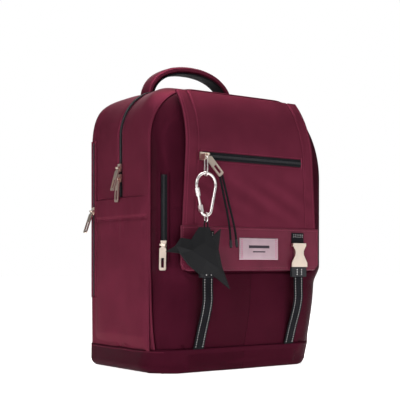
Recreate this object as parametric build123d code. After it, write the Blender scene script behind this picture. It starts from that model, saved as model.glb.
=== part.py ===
from build123d import *
import os
from functools import lru_cache
from math import sqrt, tan, radians

os.makedirs("parts", exist_ok=True)

# ---------------------------------------------------------------------------
# Driving dimensions, in millimetres.
# X runs across the bag, Y from front to back, Z up from the floor.
# ---------------------------------------------------------------------------

# Overall bag
bag_width = 312.0
bag_height = 434.0
main_depth = 182.5
front_depth = 42.5
back_y = 95.0
rear_half_depth = 99.0
wall = 2.5

# Outline of the fabric body
crown_drop = 10.0
shoulder_drop = 105.0
hinge_forward = 3.5
belly_z = 150.0
belly_back = 18.0
base_seam_z = 36.0
toe_back = 3.0
toe_radius = 14.0
heel_radius = 12.0
crown_y = -10.0
rear_top_drop = 12.0
rear_top_radius = 32.0
top_corner_radius = 78.0
bottom_corner_radius = 10.0
rear_corner_radius = 14.0
front_corner_radius = 28.0

# Side pockets
hem_drop = 169.0
pocket_wall = 1.5
pocket_proud = 3.0
pocket_gap = 8.0
pocket_mouth_rise = 6.0
pocket_mouth_slope = 6.0
pocket_rear_inset = 23.0
pocket_front_inset = 6.0

# Inner panels
back_foam_thickness = 6.0
base_board_thickness = 3.0
divider_thickness = 5.0
laptop_gap = 24.0
panel_margin = 16.0
panel_clearance = 0.5

# Back pad, trolley sleeve and shoulder straps
pad_thickness = 8.0
pad_width = 224.0
pad_bottom_z = 50.0
pad_top_drop = 54.0
sleeve_width = 190.0
sleeve_height = 95.0
sleeve_bottom_z = 105.0
sleeve_gap = 9.0
sleeve_wall = 2.0
strap_width = 58.0
strap_thickness = 11.0
strap_top_x = 52.0
strap_bottom_x = 96.0
strap_top_drop = 36.0
strap_stand_off = 40.0
strap_bottom_z = 150.0
strap_bend_radius = 26.0
web_width = 20.0
web_thickness = 1.6
yoke_height = 24.0
yoke_thickness = 7.0
lock_width = 30.0
lock_height = 26.0
lock_thickness = 6.0
lock_gap = 4.0
tab_foot_x = 132.0
tab_foot_z = 50.0
tab_width = 20.0
tab_height = 34.0
tab_overlap = 8.0

# Carry handle
handle_span = 172.0
handle_rise = 54.0
handle_y = 40.0
handle_width = 28.0
handle_thickness = 9.0
handle_lining = 3.0
handle_radius = 44.0
handle_foot = 20.0

# Zips
tape_width = 9.0
tape_thickness = 1.0
tape_inset = 0.6
coil_width = 3.2
coil_proud = 0.4
slider_length = 12.0
slider_width = 9.0
slider_plate = 2.4
slider_gap = 0.4
ear_height = 4.0
ear_width = 1.2
ear_depth = 3.2
hinge_pin_radius = 0.8
hinge_running = 0.06
barrel_radius = 1.7
barrel_side_gap = 0.3
pull_length = 37.0
pull_width = 10.5
pull_neck = 5.0
pull_neck_length = 4.0
pull_thickness = 1.6
pull_slot_length = 14.0
pull_slot_width = 4.5
pull_slot_end = 4.0
upper_pull_tilt = 16.0
lower_pull_tilt = 4.0
upper_slider_rise = 45.0
lower_slider_rise = 29.0
laptop_tape_width = 7.0
laptop_tape_gap = 1.5
laptop_zip_bottom_z = 112.0
laptop_slider_drop = 18.0
laptop_pull_tilt = 20.0
front_zip_bottom_z = 168.0
front_zip_top_rise = 26.0
front_zip_angle = 35.0
front_slider_z = 190.0
front_pull_tilt = 3.0

# Flap
flap_gap = 0.8
flap_thickness = 3.5
flap_top_width = 237.0
flap_bottom_width = 267.0
flap_bottom_z = 153.0
flap_hinge_drop = 4.0
flap_hinge_depth = 1.2
band_height = 65.0
band_thickness = 1.5
band_corner = 9.0
label_width = 76.0
label_height = 33.0
label_thickness = 1.2
label_x = 10.0
flap_zip_width = 194.0
flap_zip_height = 11.5
flap_zip_drop = 8.0
flap_slider_x = -94.0
flap_slider_length = 16.0
flap_pull_x = 3.0
flap_pull_angle = 41.0
flap_pull_tilt = 5.0

# Straps and buckles on the front
buckle_x = 88.0
upper_web_width = 25.0
upper_web_height = 21.0
lower_web_width = 19.0
lower_web_bend_z = 112.0
lower_web_foot_gap = 2.0
plate_width = 32.0
plate_waist = 17.0
plate_top_width = 27.0
plate_height = 37.0
plate_bottom_rise = 5.0
plate_waist_rise = 22.0
plate_thickness = 1.6
rail_width = 2.0
top_bar_height = 5.0
buckle_clearance = 0.5
prong_thickness = 2.4
prong_length = 24.0
keeper_width = 30.0
keeper_height = 15.0
keeper_thickness = 4.4

# Carabiner, rings and charm
ring_wire = 1.8
ring_width = 8.8
hang_ring_height = 30.0
hang_pin_radius = 1.0
hang_pin_x = -4.5
hang_pin_drop = 5.0
hang_ear_width = 1.2
carabiner_wire = 4.3
carabiner_height = 66.0
carabiner_top_radius = 17.0
carabiner_bottom_radius = 9.0
link_clearance = 1.0
gate_clearance = 0.4
gate_radius = 1.8
gate_pin_radius = 0.9
gate_pin_rise = 4.0
fork_gap = 0.3
fork_plate = 1.1
fork_length = 8.0
sleeve_radius = 3.5
sleeve_length = 11.5
sleeve_running = 0.06
charm_ring_height = 15.0
charm_thickness = 10.0
charm_eyelet_thickness = 3.0
charm_eyelet_radius = 3.4

# Cords on the flap zip's pull
cord_diameter = 3.4
cord_gap = 0.5

# ---------------------------------------------------------------------------
# Values worked out from the driving dimensions
# ---------------------------------------------------------------------------
half_width = bag_width / 2
seam_y = back_y - main_depth
front_face_y = seam_y - front_depth
zip_y = back_y - rear_half_depth
hinge_y = seam_y - hinge_forward
hinge_z = bag_height - crown_drop
shoulder_z = bag_height - shoulder_drop
hem_z = bag_height - hem_drop
shoulder_back = hinge_y - front_face_y
shoulder_rise = hinge_z - shoulder_z
shoulder_radius = (shoulder_back**2 + shoulder_rise**2) / (2 * shoulder_back)
belly_fall = belly_z - base_seam_z
belly_radius = (belly_back**2 + belly_fall**2) / (2 * belly_back)
flap_inner_y = front_face_y - flap_gap
flap_outer_y = flap_inner_y - flap_thickness
band_y = flap_outer_y - band_thickness
pocket_rear_y = back_y - pocket_rear_inset
pocket_front_y = seam_y + pocket_front_inset
far = 600.0


def front_y(z):
    """Y of the front compartment's outer face at height z."""
    if z > shoulder_z:
        return front_face_y + shoulder_radius - sqrt(shoulder_radius**2 - (z - shoulder_z) ** 2)
    if z < belly_z:
        return front_face_y + belly_radius - sqrt(belly_radius**2 - (belly_z - z) ** 2)
    return front_face_y


def round_corner(face, point, radius):
    """The face with the corner nearest to the point rounded."""
    corner = face.vertices().sort_by_distance(point)[0]
    return fillet(corner, radius)


def slab(low, high):
    """An axis-aligned block between two corners."""
    size = [high[i] - low[i] for i in range(3)]
    centre = [(high[i] + low[i]) / 2 for i in range(3)]
    return Pos(*centre) * Box(*size)


def flat_bar(start, end, width, thickness, across=(1, 0, 0)):
    """A straight flat bar from start to end, its width lying along across."""
    first = Vector(*start)
    last = Vector(*end)
    run = last - first
    plane = Plane(origin=(first + last) * 0.5, x_dir=across, z_dir=run.normalized())
    return plane * Box(width, thickness, run.length)


def mirrored(shape):
    """The same shape on the other side of the bag."""
    return shape.mirror(Plane.YZ)


# ---------------------------------------------------------------------------
# Fabric body
# ---------------------------------------------------------------------------
def side_face():
    """Outline of the whole bag seen from the side, with Y across and Z up."""
    heel = (back_y, 0)
    sill = (front_y(base_seam_z), base_seam_z)
    toe = (sill[0] + toe_back, 0)
    belly = (front_face_y, belly_z)
    shoulder = (front_face_y, shoulder_z)
    hinge = (hinge_y, hinge_z)
    rear_top = (back_y, bag_height - rear_top_drop)
    belly_mid = (belly_z + base_seam_z) / 2
    shoulder_mid = (shoulder_z + hinge_z) / 2
    outline = Line(heel, toe)
    outline += Line(toe, sill)
    outline += ThreePointArc(sill, (front_y(belly_mid), belly_mid), belly)
    outline += Line(belly, shoulder)
    outline += ThreePointArc(shoulder, (front_y(shoulder_mid), shoulder_mid), hinge)
    outline += ThreePointArc(hinge, (crown_y, bag_height), rear_top)
    outline += Line(rear_top, heel)
    face = make_face(outline)
    face = round_corner(face, (*toe, 0), toe_radius)
    face = round_corner(face, (*heel, 0), heel_radius)
    return round_corner(face, (*rear_top, 0), rear_top_radius)


def plan_face():
    """Outline of the whole bag seen from above."""
    depth = back_y - front_face_y
    face = Pos(0, (back_y + front_face_y) / 2) * Rectangle(bag_width, depth)
    for side in (-1, 1):
        face = round_corner(face, (side * half_width, back_y, 0), rear_corner_radius)
        face = round_corner(face, (side * half_width, front_face_y, 0), front_corner_radius)
    return face


def front_face():
    """Outline of the whole bag seen from the front, with X across and Z up."""
    face = Pos(0, bag_height / 2) * Rectangle(bag_width, bag_height)
    for side in (-1, 1):
        face = round_corner(face, (side * half_width, bag_height, 0), top_corner_radius)
        face = round_corner(face, (side * half_width, 0, 0), bottom_corner_radius)
    return face


@lru_cache
def envelope(inset, proud=0.0):
    """The bag's solid outer form, drawn in by inset, or standing proud at the sides."""
    outlines = [side_face(), plan_face(), front_face()]
    if inset != 0:
        outlines = [offset(face, amount=-inset) for face in outlines]
    side = extrude(Plane.YZ * outlines[0], amount=far, both=True)
    plan = extrude(outlines[1], amount=far, both=True)
    front = extrude(Plane.XZ * outlines[2], amount=far, both=True)
    if proud:
        scale_x = (half_width + proud) / half_width
        plan = scale(plan, by=(scale_x, 1, 1))
        front = scale(front, by=(scale_x, 1, 1))
    return side & plan & front


outer = envelope(0)
inner = envelope(wall)


def pocket_bay(grow):
    """The hollow in the right side wall behind a side pocket, grown by the wall."""
    deep_x = half_width - pocket_gap - pocket_wall + pocket_proud - grow
    top_z = hem_z + pocket_mouth_rise
    points = [
        (deep_x, base_seam_z - grow),
        (far, base_seam_z - grow),
        (far, top_z + pocket_mouth_slope + grow),
        (half_width - grow, top_z + pocket_mouth_slope + grow),
        (deep_x, top_z + grow),
    ]
    face = make_face(Polyline(*points, close=True))
    length = pocket_rear_y - pocket_front_y + 2 * grow
    prism = extrude(Plane.XZ * face, amount=length)
    return Pos(0, pocket_rear_y + grow, 0) * prism


bay = pocket_bay(0)
bay_lining = pocket_bay(wall)
hollow = inner - bay_lining - mirrored(bay_lining)
body_skin = outer - bay - mirrored(bay) - hollow

zip_bottom_z = hem_z + pocket_mouth_rise + pocket_mouth_slope
zip_slot = slab((-far, zip_y - tape_width / 2, zip_bottom_z), (far, zip_y + tape_width / 2, far))
above_base = slab((-far, -far, base_seam_z), (far, far, far))
below_base = slab((-far, -far, -far), (far, far, base_seam_z))
rear_zone = slab((-far, zip_y + tape_width / 2, -far), (far, far, far))
front_zone = slab((-far, -far, -far), (far, seam_y, far))
middle_zone = slab((-far, seam_y, -far), (far, zip_y + tape_width / 2, far))

divider_wall = inner & slab((-far, seam_y, base_seam_z), (far, seam_y + wall, far))
divider_wall = divider_wall - bay_lining - mirrored(bay_lining)
upper_skin = body_skin & above_base
rear_shell = upper_skin & rear_zone
main_front_shell = ((upper_skin & middle_zone) - zip_slot) + divider_wall
front_compartment = upper_skin & front_zone
base_panel = body_skin & below_base


def side_pocket():
    """The bottle pocket on the right, an open pouch on the bag's side."""
    block = envelope(0, pocket_proud)
    low = (half_width - pocket_gap - pocket_wall + pocket_proud, pocket_front_y, base_seam_z)
    high = (far, pocket_rear_y, hem_z)
    pouch = block & slab(low, high)
    cavity_low = (low[0], low[1] + pocket_wall, low[2] + pocket_wall)
    cavity_high = (half_width + pocket_proud - pocket_wall, high[1] - pocket_wall, far)
    return pouch - slab(cavity_low, cavity_high)


right_side_pocket = side_pocket()

# ---------------------------------------------------------------------------
# Inner panels
# ---------------------------------------------------------------------------
inner_back_y = back_y - wall - panel_clearance
panel_half = half_width - pocket_gap - pocket_wall + pocket_proud - wall - panel_margin
panel_bottom_z = wall + base_board_thickness + 2 * panel_clearance
panel_top_z = bag_height - top_corner_radius
back_foam = slab(
    (-panel_half, inner_back_y - back_foam_thickness, panel_bottom_z + panel_margin),
    (panel_half, inner_back_y, panel_top_z),
)
divider_y = inner_back_y - back_foam_thickness - laptop_gap
laptop_divider = slab(
    (-panel_half, divider_y - divider_thickness, panel_bottom_z),
    (panel_half, divider_y, panel_top_z - panel_margin),
)
base_board = slab(
    (-panel_half, front_y(base_seam_z) + wall + panel_margin, wall + panel_clearance),
    (panel_half, inner_back_y - panel_margin, wall + panel_clearance + base_board_thickness),
)

# ---------------------------------------------------------------------------
# Back pad, trolley sleeve, yoke and shoulder straps
# ---------------------------------------------------------------------------
pad_y = back_y + pad_thickness
pad_top_z = bag_height - pad_top_drop
back_pad = slab((-pad_width / 2, back_y, pad_bottom_z), (pad_width / 2, pad_y, pad_top_z))
back_pad = fillet(back_pad.edges().filter_by(Axis.Y), pad_thickness)


def trolley_loop():
    """A flat loop of fabric over the pad, open above and below."""
    out_y = pad_y + sleeve_gap + sleeve_wall
    high = (sleeve_width / 2, out_y, sleeve_bottom_z + sleeve_height)
    loop = slab((-sleeve_width / 2, pad_y, sleeve_bottom_z), high)
    hole_half = sleeve_width / 2 - sleeve_wall
    return loop - slab((-hole_half, -far, -far), (hole_half, out_y - sleeve_wall, far))


trolley_sleeve = trolley_loop()
strap_top_z = bag_height - strap_top_drop
yoke = slab(
    (-strap_top_x - strap_width / 2, back_y, strap_top_z - yoke_height / 2),
    (strap_top_x + strap_width / 2, back_y + yoke_thickness, strap_top_z + yoke_height / 2),
)
strap_y = back_y + strap_stand_off
strap_route = [
    (strap_top_x, back_y + yoke_thickness, strap_top_z),
    (strap_top_x, strap_y, strap_top_z),
    (strap_top_x + 14, strap_y + 4, strap_top_z - 110),
    (strap_bottom_x, strap_y - 4, strap_bottom_z),
]


def padded_strap():
    """The right shoulder strap, swept from the yoke to its lower end."""
    path = FilletPolyline(*strap_route, radius=strap_bend_radius)
    section = Plane(origin=strap_route[0], x_dir=(1, 0, 0), z_dir=(0, 1, 0))
    return sweep(section * Rectangle(strap_width, strap_thickness), path=path)


right_shoulder_strap = padded_strap()
strap_end = Vector(*strap_route[-1])
tab_point = Vector(tab_foot_x, back_y + web_thickness, tab_foot_z)
fall = (tab_point - strap_end).normalized()
lock_top = strap_end + fall * lock_gap
lock_end = lock_top + fall * lock_height


def ladder_lock():
    """The right adjuster, a frame with two slots for the webbing."""
    frame = flat_bar(lock_top, lock_end, lock_width, lock_thickness)
    slot = web_width + 2 * panel_clearance
    for share in (0.3, 0.7):
        middle = lock_top + (lock_end - lock_top) * share
        reach = fall * (lock_height * 0.12)
        frame = frame - flat_bar(middle - reach, middle + reach, slot, far / 10)
    return frame


right_ladder_lock = ladder_lock()
right_strap_webbing = flat_bar(lock_end, tab_point, web_width, web_thickness)
right_corner_tab = slab(
    (tab_foot_x - tab_width / 2, back_y, tab_foot_z + tab_overlap - tab_height),
    (tab_foot_x + tab_width / 2, back_y + web_thickness, tab_foot_z + tab_overlap),
)
right_strap_webbing = right_strap_webbing - right_corner_tab - outer

# ---------------------------------------------------------------------------
# Carry handle
# ---------------------------------------------------------------------------
crown_radius_probe = outer & slab((-1, handle_y - 1, 0), (1, handle_y + 1, far))
crown_z = crown_radius_probe.bounding_box().max.Z


def arch_face(inset):
    """The handle's outline seen from the front, drawn in by inset."""
    low = crown_z - handle_foot
    high = bag_height + handle_rise - inset
    half = handle_span / 2 - inset
    face = Pos(0, (low + high) / 2) * Rectangle(2 * half, high - low)
    for side in (-1, 1):
        face = round_corner(face, (side * half, high, 0), handle_radius - inset)
    return face


def handle_band(start, end, width):
    """A bent band over the crown, between two distances in from its outer line."""
    block = extrude(Plane.XZ * arch_face(start), amount=width / 2, both=True)
    block -= extrude(Plane.XZ * arch_face(end), amount=width, both=True)
    return Pos(0, handle_y, 0) * block - outer


handle_grip = handle_band(0, handle_thickness, handle_width)
handle_underside = handle_band(
    handle_thickness, handle_thickness + handle_lining, handle_width - 2 * handle_lining
)

# ---------------------------------------------------------------------------
# Zips. A slider is built with its travel along Y, its outside along Z and its
# hinge pin along X, and is then placed on a plane on the fabric.
# ---------------------------------------------------------------------------
pin_height = slider_plate + ear_height / 2


def hinge_ears():
    """Two ears and the pin between them, standing on a slider."""
    ears = Box(slider_width, ear_depth, ear_height + slider_plate)
    ears -= Box(slider_width - 2 * ear_width, far, far)
    ears = Pos(0, 0, (ear_height + slider_plate) / 2) * ears
    pin = Cylinder(hinge_pin_radius, slider_width, rotation=(0, 90, 0))
    return ears + Pos(0, 0, pin_height) * pin


def slider_body():
    """A zip slider with a tapered plate."""
    corner = slider_width / 2
    half = slider_length / 2
    points = [(-corner, half), (corner, half), (corner * 0.7, -half), (-corner * 0.7, -half)]
    plate = extrude(make_face(Polyline(*points, close=True)), amount=slider_plate)
    return plate + hinge_ears()


def pull_tab(tilt):
    """A zip pull hanging from the pin, lifted outward by tilt degrees."""
    long_part = pull_length - pull_neck_length
    blade = Pos(0, -pull_neck_length - long_part / 2, 0) * Box(pull_width, long_part, pull_thickness)
    blade = fillet(blade.edges().filter_by(Axis.Z), pull_width / 4)
    neck = Pos(0, -pull_neck_length / 2 - 1, 0) * Box(pull_neck, pull_neck_length + 2, pull_thickness)
    slot_y = -pull_length + pull_slot_end + pull_slot_length / 2
    slot = Pos(0, slot_y, 0) * Box(pull_slot_width, pull_slot_length, far)
    barrel_length = slider_width - 2 * ear_width - 2 * barrel_side_gap
    barrel = Cylinder(barrel_radius, barrel_length, rotation=(0, 90, 0))
    hole = Cylinder(hinge_pin_radius + hinge_running, far, rotation=(0, 90, 0))
    pull = blade - slot + neck + barrel - hole
    return Pos(0, 0, pin_height) * (Rot(-tilt, 0, 0) * pull)


def skin_strip(start, end, region):
    """The layer of the bag's skin between two insets, within a region."""
    return (envelope(start) - envelope(end)) & region


above_zip_stop = slab((-far, -far, zip_bottom_z), (far, far, far))
tape_band = slab((-far, zip_y - tape_width / 2, -far), (far, zip_y + tape_width / 2, far))
coil_band = slab((-far, zip_y - coil_width / 2, -far), (far, zip_y + coil_width / 2, far))
main_zip_tape = skin_strip(tape_inset, tape_inset + tape_thickness, tape_band & above_zip_stop)
main_zip_coil = skin_strip(0, tape_inset, coil_band & above_zip_stop)

side_slider_x = -half_width - slider_gap


def side_plane(y, z):
    """The plane of a slider that travels up the left side wall."""
    return Plane(origin=(side_slider_x, y, z), x_dir=(0, -1, 0), z_dir=(-1, 0, 0))


upper_plane = side_plane(zip_y, hem_z + upper_slider_rise)
lower_plane = side_plane(zip_y, hem_z + lower_slider_rise)
main_upper_slider = upper_plane * slider_body()
main_upper_pull = upper_plane * pull_tab(upper_pull_tilt)
main_lower_slider = lower_plane * slider_body()
main_lower_pull = lower_plane * pull_tab(lower_pull_tilt)

# Laptop compartment zip, up the rear edge of the left side
laptop_zip_y = pocket_rear_y + laptop_tape_gap + laptop_tape_width / 2
laptop_top_z = bag_height - top_corner_radius
laptop_zone = slab(
    (-far, laptop_zip_y - laptop_tape_width / 2, laptop_zip_bottom_z),
    (0, laptop_zip_y + laptop_tape_width / 2, laptop_top_z),
)
laptop_coil_zone = slab(
    (-far, laptop_zip_y - coil_width / 2, laptop_zip_bottom_z),
    (0, laptop_zip_y + coil_width / 2, laptop_top_z),
)
laptop_zip_tape = skin_strip(tape_inset, tape_inset + tape_thickness, laptop_zone)
laptop_zip_coil = skin_strip(0, tape_inset, laptop_coil_zone)
rear_shell = rear_shell - skin_strip(0, tape_inset + tape_thickness, laptop_zone)
laptop_plane = side_plane(laptop_zip_y, hem_z - laptop_slider_drop)
laptop_slider = laptop_plane * slider_body()
laptop_pull = laptop_plane * pull_tab(laptop_pull_tilt)

# Front compartment zip, on the rounded front left corner
front_normal = Vector(-1, 0, 0).rotate(Axis.Z, front_zip_angle)
corner_centre = Vector(-half_width + front_corner_radius, front_face_y + front_corner_radius, 0)
front_foot = corner_centre + front_normal * front_corner_radius
front_zip_top_z = hem_z + front_zip_top_rise
front_zip_mid = (front_zip_bottom_z + front_zip_top_z) / 2


def corner_strip(width, start, end):
    """A strip of skin up the front left corner."""
    centre = front_foot + Vector(0, 0, front_zip_mid)
    plane = Plane(origin=centre, x_dir=(0, 0, 1), z_dir=front_normal)
    region = plane * Box(front_zip_top_z - front_zip_bottom_z, width, 2 * front_corner_radius)
    return skin_strip(start, end, region)


front_zip_tape = corner_strip(tape_width, tape_inset, tape_inset + tape_thickness)
front_zip_coil = corner_strip(coil_width, 0, tape_inset)
front_compartment = front_compartment - corner_strip(tape_width, 0, tape_inset + tape_thickness)
front_slider_at = front_foot + front_normal * slider_gap + Vector(0, 0, front_slider_z)
front_across = Vector(0, 0, 1).cross(front_normal)
front_plane = Plane(origin=front_slider_at, x_dir=front_across, z_dir=front_normal)
front_slider = front_plane * slider_body()
front_pull = front_plane * pull_tab(front_pull_tilt)

# ---------------------------------------------------------------------------
# Flap with its leather band, label and zip
# ---------------------------------------------------------------------------
flap_top_z = hinge_z - flap_hinge_drop


def flap_face():
    """Section of the flap, following the front compartment at a small gap."""
    middle = (shoulder_z + flap_top_z) / 2
    lines = []
    for reach in (flap_gap, flap_gap + flap_thickness):
        foot = (front_face_y - reach, flap_bottom_z)
        bend = (front_face_y - reach, shoulder_z)
        half_way = (front_y(middle) - reach, middle)
        top = (front_y(flap_top_z) - reach, flap_top_z)
        lines.append((foot, bend, half_way, top))
    outline = Curve()
    for foot, bend, half_way, top in lines:
        outline += Line(foot, bend)
        outline += ThreePointArc(bend, half_way, top)
    outline += Line(lines[0][0], lines[1][0])
    outline += Line(lines[0][3], lines[1][3])
    return make_face(outline)


def flap_outline(low_z, high_z, corner):
    """The flap's trapezoid seen from the front, between two heights."""
    slope = (flap_bottom_width - flap_top_width) / 2 / (flap_top_z - flap_bottom_z)
    low = flap_bottom_width / 2 - slope * (low_z - flap_bottom_z)
    high = flap_bottom_width / 2 - slope * (high_z - flap_bottom_z)
    face = make_face(Polyline((-low, low_z), (low, low_z), (high, high_z), (-high, high_z), close=True))
    for side in (-1, 1):
        face = chamfer(face.vertices().sort_by_distance((side * low, low_z, 0))[0], corner)
    return extrude(Plane.XZ * face, amount=far, both=True)


flap_panel = extrude(Plane.YZ * flap_face(), amount=far, both=True)
flap_panel &= flap_outline(flap_bottom_z, flap_top_z + 1, band_corner)
band_top_z = flap_bottom_z + band_height
leather_band = slab((-far, band_y, flap_bottom_z), (far, flap_outer_y, band_top_z))
leather_band &= flap_outline(flap_bottom_z, band_top_z, band_corner)
label_z = flap_bottom_z + band_height / 2
label_patch = slab(
    (label_x - label_width / 2, band_y - label_thickness, label_z - label_height / 2),
    (label_x + label_width / 2, band_y, label_z + label_height / 2),
)
flap_zip_z = shoulder_z - flap_zip_drop
flap_tape_y = flap_outer_y - tape_thickness
flap_zip_tape = slab(
    (-flap_zip_width / 2, flap_tape_y, flap_zip_z - flap_zip_height / 2),
    (flap_zip_width / 2, flap_outer_y, flap_zip_z + flap_zip_height / 2),
)
flap_zip_coil = slab(
    (-flap_zip_width / 2 + 1, flap_tape_y - coil_proud, flap_zip_z - coil_width / 2),
    (flap_zip_width / 2 - 1, flap_tape_y, flap_zip_z + coil_width / 2),
)

# ---------------------------------------------------------------------------
# Front straps and buckles, drawn on the right side
# ---------------------------------------------------------------------------
web_y = band_y - web_thickness
keeper_y = band_y - buckle_clearance - keeper_thickness / 2
plate_back_y = keeper_y - prong_thickness / 2 - buckle_clearance
plate_front_y = plate_back_y - plate_thickness
plate_z = flap_bottom_z + plate_bottom_rise
plate_top_z = plate_z + plate_height


def upper_web():
    """The short strap that holds the buckle's cover on the leather band."""
    low_z = plate_top_z - top_bar_height
    return slab(
        (buckle_x - upper_web_width / 2, web_y, low_z),
        (buckle_x + upper_web_width / 2, band_y, low_z + upper_web_height),
    )


def buckle_cover():
    """The metal half: an hourglass plate with two rails, open at the back and below."""
    waist_z = plate_z + plate_waist_rise
    right = [
        (plate_width / 2, plate_z),
        (plate_width / 2, plate_z + 6),
        (plate_waist / 2, waist_z - 3),
        (plate_waist / 2, waist_z + 3),
        (plate_top_width / 2, plate_top_z - 4),
        (plate_top_width / 2, plate_top_z),
    ]
    left = [(-x, z) for x, z in reversed(right)]
    face = make_face(Polyline(*right, *left, close=True))
    plate = Pos(0, plate_back_y, 0) * extrude(Plane.XZ * face, amount=plate_thickness)
    bar = slab(
        (-plate_top_width / 2, plate_back_y, plate_top_z - top_bar_height),
        (plate_top_width / 2, web_y, plate_top_z),
    )
    rails = slab(
        (-plate_waist / 2, plate_back_y, plate_z),
        (plate_waist / 2, web_y, plate_top_z - top_bar_height),
    )
    rails -= slab((-plate_waist / 2 + rail_width, -far, -far), (plate_waist / 2 - rail_width, far, far))
    return Pos(buckle_x, 0, 0) * (plate + bar + rails)


def buckle_prong():
    """The black half: a keeper on the lower strap with a flat prong."""
    top_z = plate_z - buckle_clearance
    keeper = slab(
        (-keeper_width / 2, keeper_y - keeper_thickness / 2, top_z - keeper_height),
        (keeper_width / 2, keeper_y + keeper_thickness / 2, top_z),
    )
    slot_half = lower_web_width / 2 + buckle_clearance
    slot_deep = web_thickness / 2 + buckle_clearance
    keeper -= slab((-slot_half, keeper_y - slot_deep, -far), (slot_half, keeper_y + slot_deep, top_z - 2))
    prong_half = plate_waist / 2 - rail_width - buckle_clearance
    prong = slab(
        (-prong_half, keeper_y - prong_thickness / 2, top_z - 2),
        (prong_half, keeper_y + prong_thickness / 2, top_z - 2 + prong_length),
    )
    return Pos(buckle_x, 0, 0) * (keeper + prong)


keeper_top_z = plate_z - buckle_clearance
web_foot = Vector(buckle_x, front_y(base_seam_z) - lower_web_foot_gap, base_seam_z)
web_bend = Vector(buckle_x, keeper_y, lower_web_bend_z)


def lower_web():
    """The strap from the buckle's keeper to the seam at the base."""
    top = Vector(buckle_x, keeper_y, keeper_top_z - 2 - buckle_clearance)
    upper = flat_bar(web_bend, top, lower_web_width, web_thickness)
    lower = flat_bar(web_foot, web_bend, lower_web_width, web_thickness)
    return (upper + lower) - outer


right_upper_web = upper_web()
right_buckle_cover = buckle_cover()
right_buckle_prong = buckle_prong()
right_lower_web = lower_web()

# ---------------------------------------------------------------------------
# Flap slider, its pull, and what hangs from it
# ---------------------------------------------------------------------------
flap_slider_y = flap_tape_y - coil_proud - slider_gap
flap_slider_front_y = flap_slider_y - slider_plate
cord_y = plate_front_y - cord_gap - cord_diameter / 2
charm_back_y = cord_y - cord_diameter / 2 - cord_gap
hang_y = charm_back_y - carabiner_wire / 2
hang_x = flap_slider_x + hang_pin_x
hang_pin_z = flap_zip_z - hang_pin_drop
pull_x = flap_slider_x + flap_pull_x
along_pull = Vector(0, 0, 1).rotate(Axis.Y, -flap_pull_angle)
flap_pull_plane = Plane(
    origin=(pull_x, flap_slider_y, flap_zip_z),
    x_dir=along_pull.cross(Vector(0, -1, 0)),
    z_dir=(0, -1, 0),
)
hang_ear_inside = ring_wire / 2 + link_clearance
hang_lug_half = hang_ear_inside + hang_ear_width


def hanging_slider():
    """The flap's slider: a plate, the pull's ears, and a lug with a pin for the ring."""
    plate = slab(
        (flap_slider_x - flap_slider_length / 2, flap_slider_front_y, flap_zip_z - slider_width / 2),
        (flap_slider_x + flap_slider_length / 2, flap_slider_y, flap_zip_z + slider_width / 2),
    )
    ear_low = hang_pin_z - 2 * hang_pin_radius
    ear_high = flap_zip_z + 1
    ears = slab(
        (hang_x - hang_lug_half, hang_y - 2 * hang_pin_radius, ear_low),
        (hang_x + hang_lug_half, flap_slider_front_y, ear_high),
    )
    ears -= slab((hang_x - hang_ear_inside, -far, -far), (hang_x + hang_ear_inside, far, far))
    foot = slab(
        (hang_x - hang_lug_half, flap_slider_front_y, ear_low),
        (hang_x + hang_lug_half, flap_slider_y, flap_zip_z),
    )
    pin = Pos(hang_x, hang_y, hang_pin_z) * Cylinder(
        hang_pin_radius, 2 * hang_lug_half, rotation=(0, 90, 0)
    )
    return plate + ears + foot + pin + flap_pull_plane * hinge_ears()


flap_slider = hanging_slider()
flap_pull = flap_pull_plane * pull_tab(flap_pull_tilt)


def upright_ring(top_z, height):
    """A stadium-shaped wire ring standing in the YZ plane, from its top centreline."""
    half = (ring_width - ring_wire) / 2
    drop = height - ring_wire
    face = Pos(hang_y, top_z - drop / 2) * RectangleRounded(2 * half, drop, half * 0.98)
    path = (Plane.YZ * face).face().outer_wire()
    path = path.moved(Location((hang_x, 0, 0)))
    section = Plane(origin=(hang_x, hang_y, top_z), x_dir=(1, 0, 0), z_dir=(0, 1, 0))
    return sweep(section * Circle(ring_wire / 2), path=path)


hang_ring_top_z = hang_pin_z + hang_pin_radius + ring_wire / 2 + link_clearance / 2
hang_ring_bottom_z = hang_ring_top_z - (hang_ring_height - ring_wire)
hang_ring = upright_ring(hang_ring_top_z, hang_ring_height)

# Carabiner: two arcs joined by two straight runs, the left one closed by the gate
link_reach = ring_wire / 2 + carabiner_wire / 2 + link_clearance
carabiner_top_z = hang_ring_bottom_z + link_reach
centre_gap = carabiner_height - carabiner_wire - carabiner_top_radius - carabiner_bottom_radius
top_centre = Vector(hang_x, hang_y, carabiner_top_z - carabiner_top_radius)
low_centre = top_centre - Vector(0, 0, centre_gap)
lean = (carabiner_top_radius - carabiner_bottom_radius) / centre_gap
upright = sqrt(1 - lean**2)
left_out = Vector(-upright, 0, -lean)
right_out = Vector(upright, 0, -lean)
left_high = top_centre + left_out * carabiner_top_radius
left_low = low_centre + left_out * carabiner_bottom_radius
right_high = top_centre + right_out * carabiner_top_radius
right_low = low_centre + right_out * carabiner_bottom_radius
gate_way = (left_low - left_high).normalized()
gate_run = (left_low - left_high).length
gate_pin_at = left_high + gate_way * (gate_run - gate_pin_rise)


def rod(start, end, radius):
    """A straight round bar between two points."""
    run = end - start
    plane = Plane(origin=(start + end) * 0.5, z_dir=run.normalized())
    return plane * Cylinder(radius, run.length)


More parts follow.
